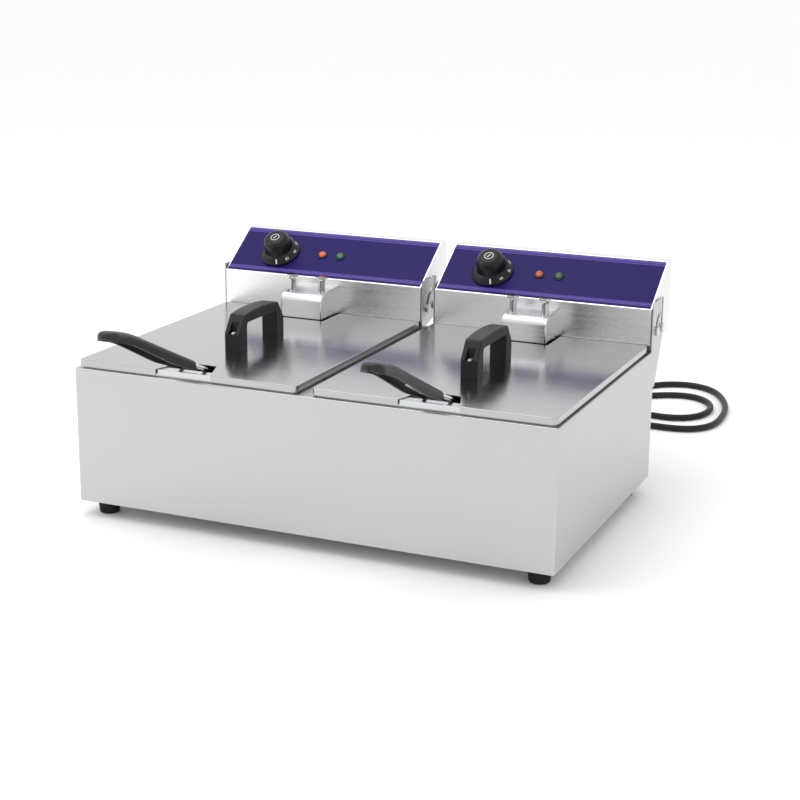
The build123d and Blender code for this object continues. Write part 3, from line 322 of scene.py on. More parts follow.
def coil_points(side):
    """The coil's turns: the first on the floor, the others on top of it, then the tail."""
    last, end = cord_routes[side][-2:]
    heading = math.atan2(end[1] - last[1], end[0] - last[0])
    turning = coil_turning[side]
    centre_angle = heading + turning * math.pi / 2
    start_x = end[0] + COIL_LEAD * math.cos(heading)
    start_y = end[1] + COIL_LEAD * math.sin(heading)
    centre_x = start_x + COIL_RADIUS * math.cos(centre_angle)
    centre_y = start_y + COIL_RADIUS * math.sin(centre_angle)
    total = 720 + coil_exit[side]
    outwards = 1 / math.cos(math.radians(COIL_STEP / 2))
    points = []
    turned_by = COIL_STEP / 2
    while turned_by < total:
        inner = between(COIL_RADIUS, COIL_RADIUS - LAYER, turned_by / 360)
        radius = between(inner, COIL_RADIUS, (turned_by - 700) / 60)
        height = between(CORD_RADIUS, CORD_RADIUS + LAYER, (turned_by - 325) / 70)
        angle = centre_angle + math.pi + turning * math.radians(turned_by)
        points.append((centre_x + radius * outwards * math.cos(angle),
                       centre_y + radius * outwards * math.sin(angle), height))
        turned_by += COIL_STEP
    out = heading + turning * math.radians(coil_exit[side])
    leave_angle = out - turning * math.pi / 2
    leave = (centre_x + COIL_RADIUS * math.cos(leave_angle),
             centre_y + COIL_RADIUS * math.sin(leave_angle))
    for reach, height in PLUG_REACH:
        points.append((leave[0] + reach * math.cos(out), leave[1] + reach * math.sin(out), height))
    return points, out


print("coil points:", {side: len(coil_points(side)[0]) for side in SIDES})

# %% The line of a cord
def cord_line(side):
    """The whole cord as one open NURBS spline."""
    turns, out = coil_points(side)
    points = [spot(*point) for point in cord_routes[side] + turns]
    line = bpy.data.curves.new(f"{side}_mains_line", "CURVE")
    line.dimensions = "3D"
    line.resolution_u = 6
    spline = line.splines.new("NURBS")
    spline.points.add(len(points) - 1)
    for control, point in zip(spline.points, points):
        control.co = (*point, 1)
    spline.order_u = 3
    spline.use_endpoint_u = True
    piece = bpy.data.objects.new(f"{side}_mains_line", line)
    bpy.context.collection.objects.link(piece)
    return piece, points[-1], (math.cos(out), math.sin(out), 0)


def measured(curve_object):
    """The points that a curve runs through, read from its own mesh, and their length."""
    data = bpy.data.meshes.new_from_object(curve_object.evaluated_get(
        bpy.context.evaluated_depsgraph_get()))
    points = [tuple(vertex.co) for vertex in data.vertices]
    length = sum((Vector(a) - Vector(b)).length for a, b in zip(points, points[1:]))
    return points, length


print("a cord's line is a spline of order three")

# %% [markdown]
# The hanging end belongs to the head, which tilts back, and the rest lies still. The
# sheath is turned into a mesh that is not attached to a body; its relief rides on the
# head and its plug on the cabinet.

# %% The cords' sheaths, reliefs and plugs
def mains_cord(side):
    """The sheath, its relief at the head's back and the plug on its far end."""
    line, tip, along = cord_line(side)
    bpy.context.view_layer.update()
    path, length = measured(line)
    line.data.bevel_depth = CORD_RADIUS / 1000
    line.data.bevel_resolution = 5
    line.data.use_fill_caps = True
    bpy.context.view_layer.update()
    tube = bpy.data.meshes.new_from_object(line.evaluated_get(
        bpy.context.evaluated_depsgraph_get()))
    tube.shade_smooth()
    sheath = bpy.data.objects.new(f"{side}_mains_cord", tube)
    bpy.context.collection.objects.link(sheath)
    bpy.data.objects.remove(line)
    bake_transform(sheath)
    dressed(sheath, "cord_black")
    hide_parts(f"{side}_cord", f"{side}_cord_coil")
    plug = mains_plug(side, tip, along)
    relief = cord_relief(side)
    print(side, "cord measures", round(length, 3), "m")


def mains_plug(side, tip, along):
    """A round moulded plug: a ribbed neck, a waisted body, a flat face and two pins."""
    shape = bmesh.new()
    seat = seat_at(tip - 0.001 * Vector(along), along, (along[1], -along[0], 0))
    neck = [(5.4, 0)]
    for rib in range(4):
        base = 1 + 3 * rib
        neck += [(6.6 + 0.5 * rib, base), (6.6 + 0.5 * rib, base + 1.7),
                 (5.9 + 0.6 * rib, base + 2.1), (5.9 + 0.6 * rib, base + 2.9)]
    body = [(11.5, 15), (15.5, 17), (17.6, 20), (18.4, 24), (17.8, 28), (18.6, 31),
            (19.0, 33), (19.0, 36.4), (18.4, 37), (0, 37)]
    spin(shape, neck + body, seat)
    plug = finished(shape, f"{side}_mains_plug", "cabinet", "plug_black", 32)
    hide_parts(f"{side}_plug")
    pins = bmesh.new()
    for turn in (-1, 1):
        pin_seat = seat @ Matrix.Translation((turn * 0.0095, 0, 0.036))
        spin(pins, [(2.4, 0), (2.4, 17.6), (2.0, 18.6), (1.2, 19.2), (0, 19.3)], pin_seat, 32)
    finished(pins, f"{side}_plug_pins", "cabinet", "brass")
    return plug


def cord_relief(side):
    """The moulded relief: a flange on the cover and a grooved cone that ends on the cord."""
    shape = bmesh.new()
    x = SIDES[side] * HEAD_CENTRE
    profile = [(6.5, -1.1), (9.0, 0), (9.0, 2.2), (8.4, 3.0), (7.6, 3.2)]
    for rib in range(9):
        base = 4.5 + 4 * rib
        outer = 7.6 - 0.22 * rib
        profile += [(outer, base), (outer, base + 2.4), (outer - 1.1, base + 2.8),
                    (outer - 1.1, base + 3.7)]
    profile += [(5.6, 40.8), (5.2, 42.6), (4.35, 43.0)]
    spin(shape, profile, seat_at(spot(x, HEAD_REAR, CORD_HEIGHT), (0, 1, 0)), 48)
    relief = finished(shape, f"{side}_cord_relief", f"{side}_head", "cord_black")
    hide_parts(f"{side}_cord_gland")
    return relief


for side in SIDES:
    mains_cord(side)

# %% [markdown]
# ## Finishes
# Every finish starts from the same idea: a base shader whose colour, roughness and bump
# come from noise that is laid in the piece's own space, so the grain stays with the piece
# when it moves. For brushed sheet the noise is drawn out very long in one direction,
# which gives fine scratches; for moulded plastic it is even and small.

# %% A grained finish
def grained(name, colour, roughness, metal=0.0, stretch=(1, 1, 1), scale=400.0,
            colour_play=0.06, rough_play=0.08, bump=0.05, coat=0.0, specular=0.5):
    """A finish with grain in its colour, its roughness and its surface."""
    finish = bpy.data.materials.new(name)
    finish.use_nodes = True
    tree = finish.node_tree
    shader = tree.nodes["Principled BSDF"]
    shader.inputs["Metallic"].default_value = metal
    shader.inputs["Specular IOR Level"].default_value = specular
    shader.inputs["Coat Weight"].default_value = coat
    shader.inputs["Coat Roughness"].default_value = 0.12
    place = tree.nodes.new("ShaderNodeTexCoord")
    lay = tree.nodes.new("ShaderNodeMapping")
    lay.inputs["Scale"].default_value = stretch
    tree.links.new(place.outputs["Object"], lay.inputs["Vector"])
    grain = tree.nodes.new("ShaderNodeTexNoise")
    grain.inputs["Scale"].default_value = scale
    grain.inputs["Detail"].default_value = 3.0
    tree.links.new(lay.outputs["Vector"], grain.inputs["Vector"])
    cloud = tree.nodes.new("ShaderNodeTexNoise")
    cloud.inputs["Scale"].default_value = 9.0
    cloud.inputs["Detail"].default_value = 2.0
    tree.links.new(place.outputs["Object"], cloud.inputs["Vector"])
    both = tree.nodes.new("ShaderNodeMath")
    both.operation = "ADD"
    tree.links.new(grain.outputs["Fac"], both.inputs[0])
    tree.links.new(cloud.outputs["Fac"], both.inputs[1])
    tint = tree.nodes.new("ShaderNodeMapRange")
    tint.inputs["From Min"].default_value = 0.6
    tint.inputs["From Max"].default_value = 1.4
    tree.links.new(both.outputs[0], tint.inputs["Value"])
    mix = tree.nodes.new("ShaderNodeMix")
    mix.data_type = "RGBA"
    mix.inputs["A"].default_value = (*[c * (1 - colour_play) for c in colour], 1)
    mix.inputs["B"].default_value = (*[min(1, c * (1 + colour_play)) for c in colour], 1)
    tree.links.new(tint.outputs["Result"], mix.inputs["Factor"])
    tree.links.new(mix.outputs["Result"], shader.inputs["Base Color"])
    shine = tree.nodes.new("ShaderNodeMapRange")
    shine.inputs["From Min"].default_value = 0.6
    shine.inputs["From Max"].default_value = 1.4
    shine.inputs["To Min"].default_value = max(0.02, roughness - rough_play)
    shine.inputs["To Max"].default_value = min(1, roughness + rough_play)
    tree.links.new(both.outputs[0], shine.inputs["Value"])
    tree.links.new(shine.outputs["Result"], shader.inputs["Roughness"])
    relief = tree.nodes.new("ShaderNodeBump")
    relief.inputs["Strength"].default_value = bump
    relief.inputs["Distance"].default_value = 0.0004
    tree.links.new(grain.outputs["Fac"], relief.inputs["Height"])
    tree.links.new(relief.outputs["Normal"], shader.inputs["Normal"])
    return finish


print("a grained finish has colour, shine and bump")

# %% [markdown]
# The pieces differ mainly in how long their grain is and how dark and shiny they are. One
# table keeps them side by side, which makes them easy to compare and to adjust.

# %% The table of finishes
def brushed(name, colour, roughness, along, play=0.04, bump=0.05):
    """Stainless sheet, brushed along one direction: the grain is drawn out along it."""
    stretch = tuple(0.012 if axis == along else 1.0 for axis in "XYZ")
    return grained(name, colour, roughness, 1.0, stretch, 900.0, play, 0.06, bump)


finishes = {
    "cabinet_steel": brushed("cabinet_steel", (0.55, 0.55, 0.55), 0.36, "X", 0.02, 0.03),
    "tank_steel": brushed("tank_steel", (0.60, 0.61, 0.62), 0.22, "Z"),
    "lid_steel": brushed("lid_steel", (0.47, 0.47, 0.475), 0.16, "X", 0.06, 0.09),
    "head_steel": brushed("head_steel", (0.84, 0.84, 0.84), 0.30, "X"),
    "polished_steel": grained("polished_steel", (0.50, 0.50, 0.51), 0.06, 1.0,
                              colour_play=0.02, rough_play=0.03, bump=0.01),
    "element_steel": grained("element_steel", (0.36, 0.35, 0.35), 0.38, 1.0, scale=90.0,
                             colour_play=0.16),
    "fastener_steel": grained("fastener_steel", (0.66, 0.66, 0.68), 0.20, 1.0, scale=700.0),
    "basket_wire": grained("basket_wire", (0.70, 0.70, 0.72), 0.16, 1.0, scale=500.0,
                           bump=0.02),
    "foot_rubber": grained("foot_rubber", (0.012, 0.012, 0.013), 0.72, scale=1500.0,
                           colour_play=0.2, bump=0.2, specular=0.25),
    "cord_black": grained("cord_black", (0.009, 0.009, 0.0095), 0.46, scale=900.0,
                          colour_play=0.2, bump=0.08, specular=0.3),
    "plug_black": grained("plug_black", (0.010, 0.010, 0.011), 0.42, scale=1400.0,
                          colour_play=0.2, bump=0.1, specular=0.3),
    "knob_black": grained("knob_black", (0.006, 0.006, 0.007), 0.30, scale=800.0,
                          colour_play=0.15, bump=0.02, specular=0.32),
    "handle_black": grained("handle_black", (0.011, 0.011, 0.0125), 0.40, scale=2200.0,
                            colour_play=0.15, bump=0.12, specular=0.28),
    "grip_black": grained("grip_black", (0.014, 0.014, 0.016), 0.34, scale=2200.0,
                          colour_play=0.15, bump=0.10, specular=0.36),
    "thermostat_black": grained("thermostat_black", (0.03, 0.03, 0.03), 0.45, scale=900.0),
    "ivory_plastic": grained("ivory_plastic", (0.68, 0.64, 0.53), 0.40, scale=700.0),
    "brass": grained("brass", (0.72, 0.53, 0.24), 0.25, 1.0, scale=600.0),
    "copper": grained("copper", (0.70, 0.38, 0.24), 0.28, 1.0, scale=300.0),
    "dial_white": grained("dial_white", (0.86, 0.86, 0.85), 0.45, scale=900.0,
                          colour_play=0.03),
}
print(len(finishes), "grained finishes")

# %% [markdown]
# ## The printed panel
# The slanting panel is a deep indigo film with two groups of fine lighter lines that run
# its whole width, one group low and one high. The lines are drawn by the distance up the
# slope: a dot product with the slope's direction gives that distance for any point, and a
# ramp with hard steps turns it into lines.

# %% The panel's slope
PANEL_RUN, PANEL_RISE = 67.6, 45.8
PANEL_LENGTH = math.hypot(PANEL_RUN, PANEL_RISE)
PANEL_FOOT = spot(0, 346.6, 225.4)
UP_SLOPE = Vector((0, PANEL_RUN, PANEL_RISE)) / PANEL_LENGTH
OUT_OF_PANEL = Vector((0, -PANEL_RISE, PANEL_RUN)) / PANEL_LENGTH
print("the panel's slope is", round(PANEL_LENGTH, 1), "mm long")

# %% The panel's film and the lamps' lenses
def panel_film():
    """Indigo film with bands of fine light lines across it."""
    film = grained("panel_film", (0.013, 0.006, 0.100), 0.34, scale=600.0, colour_play=0.06,
                   bump=0.01, specular=0.12)
    tree = film.node_tree
    shader = tree.nodes["Principled BSDF"]
    place = tree.nodes.new("ShaderNodeTexCoord")
    up = tree.nodes.new("ShaderNodeVectorMath")
    up.operation = "DOT_PRODUCT"
    up.inputs[1].default_value = UP_SLOPE
    tree.links.new(place.outputs["Object"], up.inputs[0])
    share = tree.nodes.new("ShaderNodeMapRange")
    foot = PANEL_FOOT.dot(UP_SLOPE)
    share.inputs["From Min"].default_value = foot
    share.inputs["From Max"].default_value = foot + PANEL_LENGTH / 1000
    tree.links.new(up.outputs["Value"], share.inputs["Value"])
    lines = tree.nodes.new("ShaderNodeValToRGB")
    ramp = lines.color_ramp
    ramp.interpolation = "CONSTANT"
    dark, light = (0, 0, 0, 1), (1, 1, 1, 1)
    low = [(4.8, 0.9), (6.6, 0.7), (8.2, 0.5), (9.6, 0.4)]
    high = [(PANEL_LENGTH - 9.0, 0.4), (PANEL_LENGTH - 7.6, 0.5),
            (PANEL_LENGTH - 6.0, 0.7), (PANEL_LENGTH - 4.2, 0.9)]
    ramp.elements[0].color = dark
    ramp.elements.remove(ramp.elements[1])
    for start, width in low + high:
        ramp.elements.new(start / PANEL_LENGTH).color = light
        ramp.elements.new((start + width) / PANEL_LENGTH).color = dark
    tree.links.new(share.outputs["Result"], lines.inputs["Fac"])
    printed = tree.nodes.new("ShaderNodeMix")
    printed.data_type = "RGBA"
    ground = shader.inputs["Base Color"].links[0].from_socket
    printed.inputs["B"].default_value = (0.19, 0.13, 0.55, 1)
    tree.links.new(lines.outputs["Color"], printed.inputs["Factor"])
    tree.links.new(ground, printed.inputs["A"])
    tree.links.new(printed.outputs["Result"], shader.inputs["Base Color"])
    return film


finishes["panel_film"] = panel_film()
finishes["orange_lens"] = grained("orange_lens", (0.50, 0.07, 0.010), 0.10, scale=260.0,
                                  colour_play=0.6, coat=0.5, bump=0.02)
finishes["green_lens"] = grained("green_lens", (0.004, 0.10, 0.030), 0.10, scale=260.0,
                                 colour_play=0.6, coat=0.5, bump=0.02)
print(len(finishes), "finishes with the film and the lenses")

# %% [markdown]
# ## Knobs
# Each knob is a moulding in one go: a wide conical skirt that carries the dial's numbers,
# a waist, and a round body that the fingers hold, domed on top. The numbers and the white
# mark are paint, so they are thin shapes that stand only a few hundredths proud.

# %% Paint on the knobs
KNOB_ALONG = 38.0
KNOB_GAP = 1.4
KNOB_OFFSET = 73.0
DIAL_NUMBERS = ("60", "90", "120", "150", "180", "200")


def knob_seat(side):
    """The knob's seat: its Z stands out of the panel, its X points to the right."""
    origin = PANEL_FOOT + UP_SLOPE * KNOB_ALONG / 1000 + OUT_OF_PANEL * KNOB_GAP / 1000
    across = (SIDES[side] * HEAD_CENTRE - KNOB_OFFSET) / 1000
    return seat_at(Vector((across, origin.y, origin.z)), OUT_OF_PANEL)


def ribbon(mesh, seat, points, width):
    """A thin flat stroke along points that are given as across, up and height."""
    for here, after in zip(points, points[1:]):
        run = (Vector(after) - Vector(here)).normalized()
        side_step = run.cross(Vector((0, 0, 1))).normalized() * width / 2
        quad = [Vector(here) - side_step, Vector(here) + side_step,
                Vector(after) + side_step, Vector(after) - side_step]
        low = [mesh.verts.new(seat @ (p / 1000)) for p in quad]
        top = [mesh.verts.new(seat @ ((p + Vector((0, 0, 0.08))) / 1000)) for p in quad]
        mesh.faces.new(top)
        mesh.faces.new(list(reversed(low)))
        for i in range(4):
            mesh.faces.new((low[i], low[(i + 1) % 4], top[(i + 1) % 4], top[i]))


def number_shape(text, seat, size):
    """One painted number as a thin mesh, laid on a seat."""
    words = bpy.data.curves.new("dial_number", "FONT")
    words.body = text
    words.size = size / 1000
    words.extrude = 0.00004
    words.align_x = "CENTER"
    words.align_y = "CENTER"
    holder = bpy.data.objects.new("dial_number", words)
    bpy.context.collection.objects.link(holder)
    bpy.context.view_layer.update()
    data = bpy.data.meshes.new_from_object(holder.evaluated_get(
        bpy.context.evaluated_depsgraph_get()))
    bpy.data.objects.remove(holder)
    data.transform(seat)
    return data


print("the dial reads", ", ".join(DIAL_NUMBERS))

# %% The knobs
def knob_piece(side):
    """The moulded knob, its numbers and its white marks."""
    seat = knob_seat(side)
    body = bmesh.new()
    profile = [(25.4, 0), (26.0, 0.5), (26.0, 1.6), (25.5, 2.3), (20.6, 7.3), (20.0, 7.8),
               (18.9, 8.2), (18.5, 9.0), (18.2, 12), (17.8, 16), (17.2, 19), (16.2, 22),
               (14.6, 24.6), (12.6, 26.2), (10.4, 27.0), (9.4, 27.1), (8.8, 26.7), (0, 26.5)]
    spin(body, profile, seat, 96)
    knob = finished(body, f"{side}_dial_knob", f"{side}_knob", "knob_black", 28)
    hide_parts(f"{side}_knob")
    marks = bmesh.new()
    front = math.radians(-78)
    foot = (25.0 * math.cos(front), 25.0 * math.sin(front), 2.9)
    tip = (20.9 * math.cos(front), 20.9 * math.sin(front), 7.1)
    ribbon(marks, seat, [foot, tip], 1.6)
    ribbon(marks, seat, [(-1.6, -2.6, 26.6), (1.6, 2.6, 26.6)], 1.0)
    slope = math.atan2(7.3 - 2.3, 25.5 - 20.6)
    for index, text in enumerate(DIAL_NUMBERS):
        angle = math.radians(-42 + 38 * index)
        radial = Vector((math.cos(angle), math.sin(angle), 0))
        place = radial * 23.0 + Vector((0, 0, 4.95))
        outward = radial * math.sin(slope) + Vector((0, 0, math.cos(slope)))
        local = seat_at(place / 1000, outward, Vector((-radial.y, radial.x, 0)))
        data = number_shape(text, seat @ local, 4.6)
        marks.from_mesh(data)
        bpy.data.meshes.remove(data)
    circle = [(5.4 * math.cos(a), 5.4 * math.sin(a), 26.6) for a in
              [math.radians(15 * step) for step in range(25)]]
    ribbon(marks, seat, circle, 0.7)
    finished(marks, f"{side}_dial_marks", f"{side}_knob", "dial_white")
    print(side, "knob with", len(DIAL_NUMBERS), "numbers")


for side in SIDES:
    knob_piece(side)

# %% [markdown]
# ## Pilot lamps
# A small cut lens in a black collar. The lens is turned with few sides, and every ring of
# points is turned by half a side against the one below, so its flat facets catch light.

# %% The lamps
LAMP_ALONG = 40.0
lamp_places = {"power_lamp": (-13.5, "orange_lens"), "heat_lamp": (11.5, "green_lens")}


def lamp_piece(side, name):
    """A faceted lens and the dark collar that it sits in."""
    offset, finish = lamp_places[name]
    origin = PANEL_FOOT + UP_SLOPE * LAMP_ALONG / 1000
    across = (SIDES[side] * HEAD_CENTRE + offset) / 1000
    seat = seat_at(Vector((across, origin.y, origin.z)), OUT_OF_PANEL)
    lens = bmesh.new()
    spin(lens, [(4.9, -14), (4.9, 1.2), (4.9, 2.0), (3.9, 3.5), (2.0, 4.1), (0.6, 3.6)],
         seat, 10, 0.5)
    cut = finished(lens, f"{side}_{name}_lens", f"{side}_head", finish, 5)
    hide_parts(f"{side}_{name}")
    collar = bmesh.new()
    spin(collar, [(5.0, 0.3), (6.6, 0.7), (6.6, 1.5), (6.2, 2.0), (5.5, 2.2), (5.0, 1.9)],
         seat, 48)
    finished(collar, f"{side}_{name}_collar", f"{side}_head", "knob_black")


for side in SIDES:
    for name in lamp_places:
        lamp_piece(side, name)
print("four lamps")

# %% [markdown]
# ## Basket grips
# A grip is a long moulded shell, open below like an upturned trough, that slopes up and
# away from the tank and levels out to a blunt rounded nose. It is lofted: a rounded arch
# is drawn at many stations along the grip, once for the outside and once for the hollow,
# and the two skins are joined by the rim along the bottom.

# %% The grips' slope and arch
RIM_TOP = 181.9
TANK_EDGE = 19.0
WIRE_CLEAR = 3.7
GRIP_RISE = math.radians(24.6)
GRIP_END = math.radians(7.0)
GRIP_WIDTH, GRIP_WALL = 26.0, 2.6
GRIP_NEAR, GRIP_LENGTH, GRIP_STRAIGHT = 11.0, 178.0, 125.0
GRIP_X = {"left": -144.6, "right": 145.6}
ARCH_STEPS = 14


def on_grip(along, above):
    """Depth and height of a point on the grip's slope, from the tank's front edge."""
    depth = TANK_EDGE + WIRE_CLEAR * math.sin(GRIP_RISE)
    height = RIM_TOP + WIRE_CLEAR * math.cos(GRIP_RISE)
    depth += above * math.sin(GRIP_RISE) - along * math.cos(GRIP_RISE)
    height += above * math.cos(GRIP_RISE) + along * math.sin(GRIP_RISE)
    return depth, height


def crest_and_rim(share):
    """Depth and height of the grip's crest, and the wall's depth below it."""
    near = (on_grip(0, 0)[0] - GRIP_NEAR) / math.cos(GRIP_RISE)
    depth, height = on_grip(near, 6.0)
    run = 0.0
    while run < share * GRIP_LENGTH:
        step = min(1.0, share * GRIP_LENGTH - run)
        levelled = between(0.0, 1.0, (run - GRIP_STRAIGHT) / (GRIP_LENGTH - GRIP_STRAIGHT))
        slope = GRIP_RISE * (1 - levelled) + GRIP_END * levelled
        depth -= step * math.cos(slope)
        height += step * math.sin(slope)
        run += step
    thick = between(11.5, 15.5, share / 0.3) - between(0.0, 4.0, (share - 0.35) / 0.65)
    return depth, height, thick


def arch(width, thick):
    """An upturned trough across the grip: up one side, over a round crest and down."""
    half = width / 2
    round_over = min(half, 0.8 * thick)
    points = [(-half, -thick)]
    for step in range(ARCH_STEPS + 1):
        angle = math.pi * (1 - step / ARCH_STEPS)
        flat = math.copysign(abs(math.cos(angle)) ** 0.62, math.cos(angle))
        points.append((half * flat, -round_over + round_over * math.sin(angle) ** 0.72))
    points.append((half, -thick))
    return points


print("grip nose at", round(crest_and_rim(1)[0], 1), "mm, the frame's at -158")

# %% The grips
STATIONS = 56


def grip_stations(inset):
    """The arches of one skin, each as points across, depth and height."""
    stations = []
    for index in range(STATIONS + 1):
        even = index / STATIONS
        eased = 1 - (1 - even) ** 1.6
        share = between(inset / GRIP_LENGTH, 1 - inset / GRIP_LENGTH, eased)
        depth, height, thick = crest_and_rim(share)
        to_nose = max(0.0, (1 - share) * GRIP_LENGTH - inset)
        pinch = math.sqrt(1 - (1 - min(1.0, to_nose / 12.0)) ** 2)
        near = min(1.0, (share * GRIP_LENGTH - inset) / 10.0 + 0.62) ** 0.5
        width = max(0.6, (GRIP_WIDTH - 2 * inset) * pinch * near)
        drop = (1 - pinch) * 4.0 + inset
        points = arch(width, max(1.2, (thick - inset) * (0.25 + 0.75 * pinch)))
        stations.append([(x, depth, height - drop + z) for x, z in points])
    return stations


def basket_grip(side):
    """Both skins of the grip, joined along the lower rim and closed at the near end."""
    shape = bmesh.new()
    skins = []
    for inset in (0.0, GRIP_WALL):
        rows = []
        for station in grip_stations(inset):
            rows.append([shape.verts.new(spot(GRIP_X[side] + x, depth, height))
                         for x, depth, height in station])
        for row, after in zip(rows, rows[1:]):
            for i in range(len(row) - 1):
                shape.faces.new((row[i], row[i + 1], after[i + 1], after[i]))
        skins.append(rows)
    outer, inner = skins
    for (a, b), (c, d) in zip(zip(outer, outer[1:]), zip(inner, inner[1:])):
        for edge in (0, -1):
            shape.faces.new((a[edge], b[edge], d[edge], c[edge]))
    shape.faces.new(outer[0])
    shape.faces.new(inner[0])
    for edge in range(len(outer[-1]) - 1):
        shape.faces.new((outer[-1][edge], outer[-1][edge + 1],
                         inner[-1][edge + 1], inner[-1][edge]))
    grip = finished(shape, f"{side}_grip_shell", f"{side}_basket", "grip_black", 62)
    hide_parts(f"{side}_basket_grip")
    print(side, "grip with", 2 * (STATIONS + 1), "arches")


for side in SIDES:
    basket_grip(side)

# %% [markdown]
# ## Basket mesh
# The basket is welded from plated wire. One set of wires runs down the front, along the
# floor and up the back, another runs across the same way, and hoops go round the walls.
# A curve with a thin round bevel makes all of them at once.

# %% Wires and hoops
BASKET_WIDTH, BASKET_LENGTH, BASKET_HEIGHT = 214.0, 216.0, 106.0
BASKET_FRONT, BASKET_FLOOR = 38.0, 60.45
MESH_PITCH = 9.0
MESH_WIRE = 0.55


def bent_wire(curve, points):
    """One wire of a mesh as a straight-run spline with small rounded bends."""
    wire = curve.splines.new("POLY")
    wire.points.add(len(points) - 1)
    for control, point in zip(wire.points, points):
        control.co = (*point, 1)
    return wire


def hoop_points(x, height, inset, bend=4.3):
    """A rounded rectangle round the basket at one height."""
    half_x = BASKET_WIDTH / 2 - inset
    half_y = BASKET_LENGTH / 2 - inset
    middle = BASKET_FRONT + BASKET_LENGTH / 2
    points = []
    for corner in range(4):
        sign_x = 1 if corner in (0, 3) else -1
        sign_y = 1 if corner in (0, 1) else -1
        for step in range(5):
            angle = math.radians(90 * corner + 22.5 * step)
            points.append(spot(x + sign_x * (half_x - bend) + bend * math.cos(angle),
                               middle + sign_y * (half_y - bend) + bend * math.sin(angle),
                               height))
    return points


print("mesh pitch", MESH_PITCH, "mm, wire", 2 * MESH_WIRE, "mm thick")

# %% The baskets' mesh
def basket_wires(side):
    """The welded mesh of one basket."""
    x = SIDES[side] * LID_CENTRE
    curve = bpy.data.curves.new(f"{side}_basket_wires", "CURVE")
    curve.dimensions = "3D"
    curve.bevel_depth = MESH_WIRE / 1000
    curve.bevel_resolution = 1
    top = BASKET_FLOOR + BASKET_HEIGHT
    half_x, half_y = BASKET_WIDTH / 2 - 0.6, BASKET_LENGTH / 2 - 0.6
    middle = BASKET_FRONT + BASKET_LENGTH / 2
    bend = 5.0
    low = BASKET_FLOOR + 0.6
    for count, reach, across in ((11, half_x, False), (11, half_y, True)):
        for index in range(-count, count + 1):
            shift = index * MESH_PITCH
            other = half_y if not across else half_x
            lift = 1.1 if across else 0.0
            run = [(-other, top), (-other, low + bend + lift),
                   (-other + 0.3 * bend, low + 0.3 * bend + lift), (-other + bend, low + lift),
                   (other - bend, low + lift), (other - 0.3 * bend, low + 0.3 * bend + lift),
                   (other, low + bend + lift), (other, top)]
            if across:
                bent_wire(curve, [spot(x + a, middle + shift, z) for a, z in run])
            else:
                bent_wire(curve, [spot(x + shift, middle + a, z) for a, z in run])
    height = low + 14
    while height < top - 4:
        hoop = bent_wire(curve, hoop_points(x, height, 1.7))
        hoop.use_cyclic_u = True
        height += MESH_PITCH
    holder = bpy.data.objects.new("basket_wires", curve)
    bpy.context.collection.objects.link(holder)
    bpy.context.view_layer.update()
    data = bpy.data.meshes.new_from_object(holder.evaluated_get(
        bpy.context.evaluated_depsgraph_get()))
    bpy.data.objects.remove(holder)
    data.shade_smooth()
    mesh = bpy.data.objects.new(f"{side}_wire_mesh", data)
    bpy.context.collection.objects.link(mesh)
    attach(mesh, f"{side}_basket")
    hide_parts(f"{side}_basket_mesh")
    print(side, "basket mesh has", len(data.vertices), "points")
    return dressed(mesh, "basket_wire")


for side in SIDES:
    basket_wires(side)

# %% [markdown]
# ## Riser covers
# The cover over the element's legs is a folded box whose top rolls over into the front
# and has narrow bright folds down both sides. It is drawn from the side, pushed across,
# and its long edges are rounded with a bevel before the sheet gets its thickness.

# %% The riser covers
RISER_X, RISER_WIDTH, RISER_FRONT = -3.3, 55.0, 297.0
RISER_FOOT, RISER_FRONT_TOP, RISER_REAR_TOP = 183.8, 213.0, 218.5


def riser_cover(side):
    """A folded cover with a rolled front edge, open below and behind."""
    x = SIDES[side] * HEAD_CENTRE + RISER_X
    shape = bmesh.new()
    outline = [(RISER_FRONT, RISER_FOOT), (RISER_FRONT, RISER_FRONT_TOP),
               (HEAD_FRONT, RISER_REAR_TOP)]
    rear_foot = (HEAD_FRONT, RISER_FOOT)
    rows = []
    for turn in (-1, 1):
        across = x + turn * RISER_WIDTH / 2
        rows.append([shape.verts.new(spot(across, depth, height))
                     for depth, height in outline + [rear_foot]])
    left, right = rows
    for i in range(2):
        shape.faces.new((left[i], right[i], right[i + 1], left[i + 1]))
    shape.faces.new(list(reversed(left)))
    shape.faces.new(right)
    shape.normal_update()
    roll = [edge for edge in shape.edges if set(edge.verts) == {left[1], right[1]}]
    bmesh.ops.bevel(shape, geom=roll, offset=0.0075, segments=8, profile=0.5,
                    affect="EDGES", clamp_overlap=True)
    folds = [edge for edge in shape.edges if len(edge.link_faces) == 2
             and edge.calc_face_angle(0) > math.radians(60)]
    bmesh.ops.bevel(shape, geom=folds, offset=0.0014, segments=4, profile=0.5,
                    affect="EDGES", clamp_overlap=True)
    bmesh.ops.recalc_face_normals(shape, faces=shape.faces)
    cover = finished(shape, f"{side}_folded_riser", f"{side}_head", "head_steel", 30,
                     flat_over=0.0002)
    sheet = cover.modifiers.new("sheet", "SOLIDIFY")
    sheet.thickness = 0.0009
    sheet.offset = -1
    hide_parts(f"{side}_riser_cover")


for side in SIDES:
    riser_cover(side)
print("two riser covers")

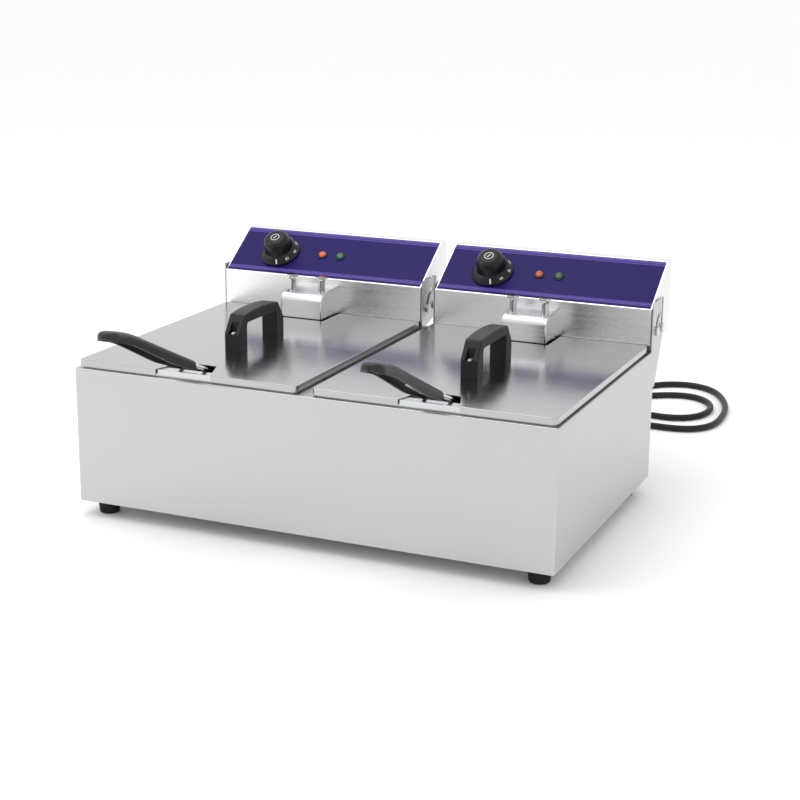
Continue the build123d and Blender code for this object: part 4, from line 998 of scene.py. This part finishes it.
# %% [markdown]
# ## Handle screws
# The screws in the shoulders of the lid handles are bright pan heads with a cross recess.
# A plain disc would look like a dot of paint, so each head is turned with a low dome and
# four small wedges of its middle are sunk by moving points down.

# %% The screws of the lid handles
HANDLE_FRONT, HANDLE_LENGTH, POCKET = 112.0, 110.0, 4.0
SCREW_SEAT = 202.2
RECESS_HALF, RECESS_REACH, RECESS_DEPTH = 0.42, 1.9, 0.9


def handle_screws(side):
    """Two domed screw heads with cross recesses, on the ledges of one handle."""
    heads = bmesh.new()
    middle = HANDLE_FRONT + HANDLE_LENGTH / 2
    for turn in (-1, 1):
        depth = middle + turn * (HANDLE_LENGTH / 2 - POCKET)
        seat = seat_at(spot(SIDES[side] * LID_CENTRE, depth, SCREW_SEAT), (0, 0, 1))
        start = len(heads.verts)
        spin(heads, [(3.2, 0), (3.2, 1.1), (2.9, 1.6), (2.2, 1.9), (1.7, 1.95), (0.5, 2.0)],
             seat, 32)
        heads.verts.ensure_lookup_table()
        for vert in list(heads.verts)[start:]:
            local = seat.inverted() @ vert.co * 1000
            across = min(abs(local.x), abs(local.y))
            in_cross = across < RECESS_HALF and local.xy.length < RECESS_REACH
            if local.z > 1.7 and in_cross:
                vert.co -= Vector((0, 0, RECESS_DEPTH / 1000))
    screws = finished(heads, f"{side}_handle_screw_heads", f"{side}_lid", "fastener_steel", 25)
    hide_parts(f"{side}_lid_handle_screws")


for side in SIDES:
    handle_screws(side)
print("four handle screws")

# %% [markdown]
# ## Giving every piece its finish
# Each made piece was told which finish it takes, and each part of the frame carries the
# name of its own. One pass over both puts the finished materials in place.

# %% Finishes onto pieces
def give_finishes():
    """Puts the made finishes on the frame's parts and on the new pieces."""
    for node in nodes.values():
        for holder in node.material_slots:
            holder.material = finishes[holder.material.name.split(".")[0]]
    made = 0
    for piece in bpy.context.scene.objects:
        if piece.type == "MESH" and "finish" in piece:
            piece.data.materials.clear()
            piece.data.materials.append(finishes[piece["finish"]])
            made += 1
    print(len(nodes), "parts and", made, "made pieces have their finish")


give_finishes()
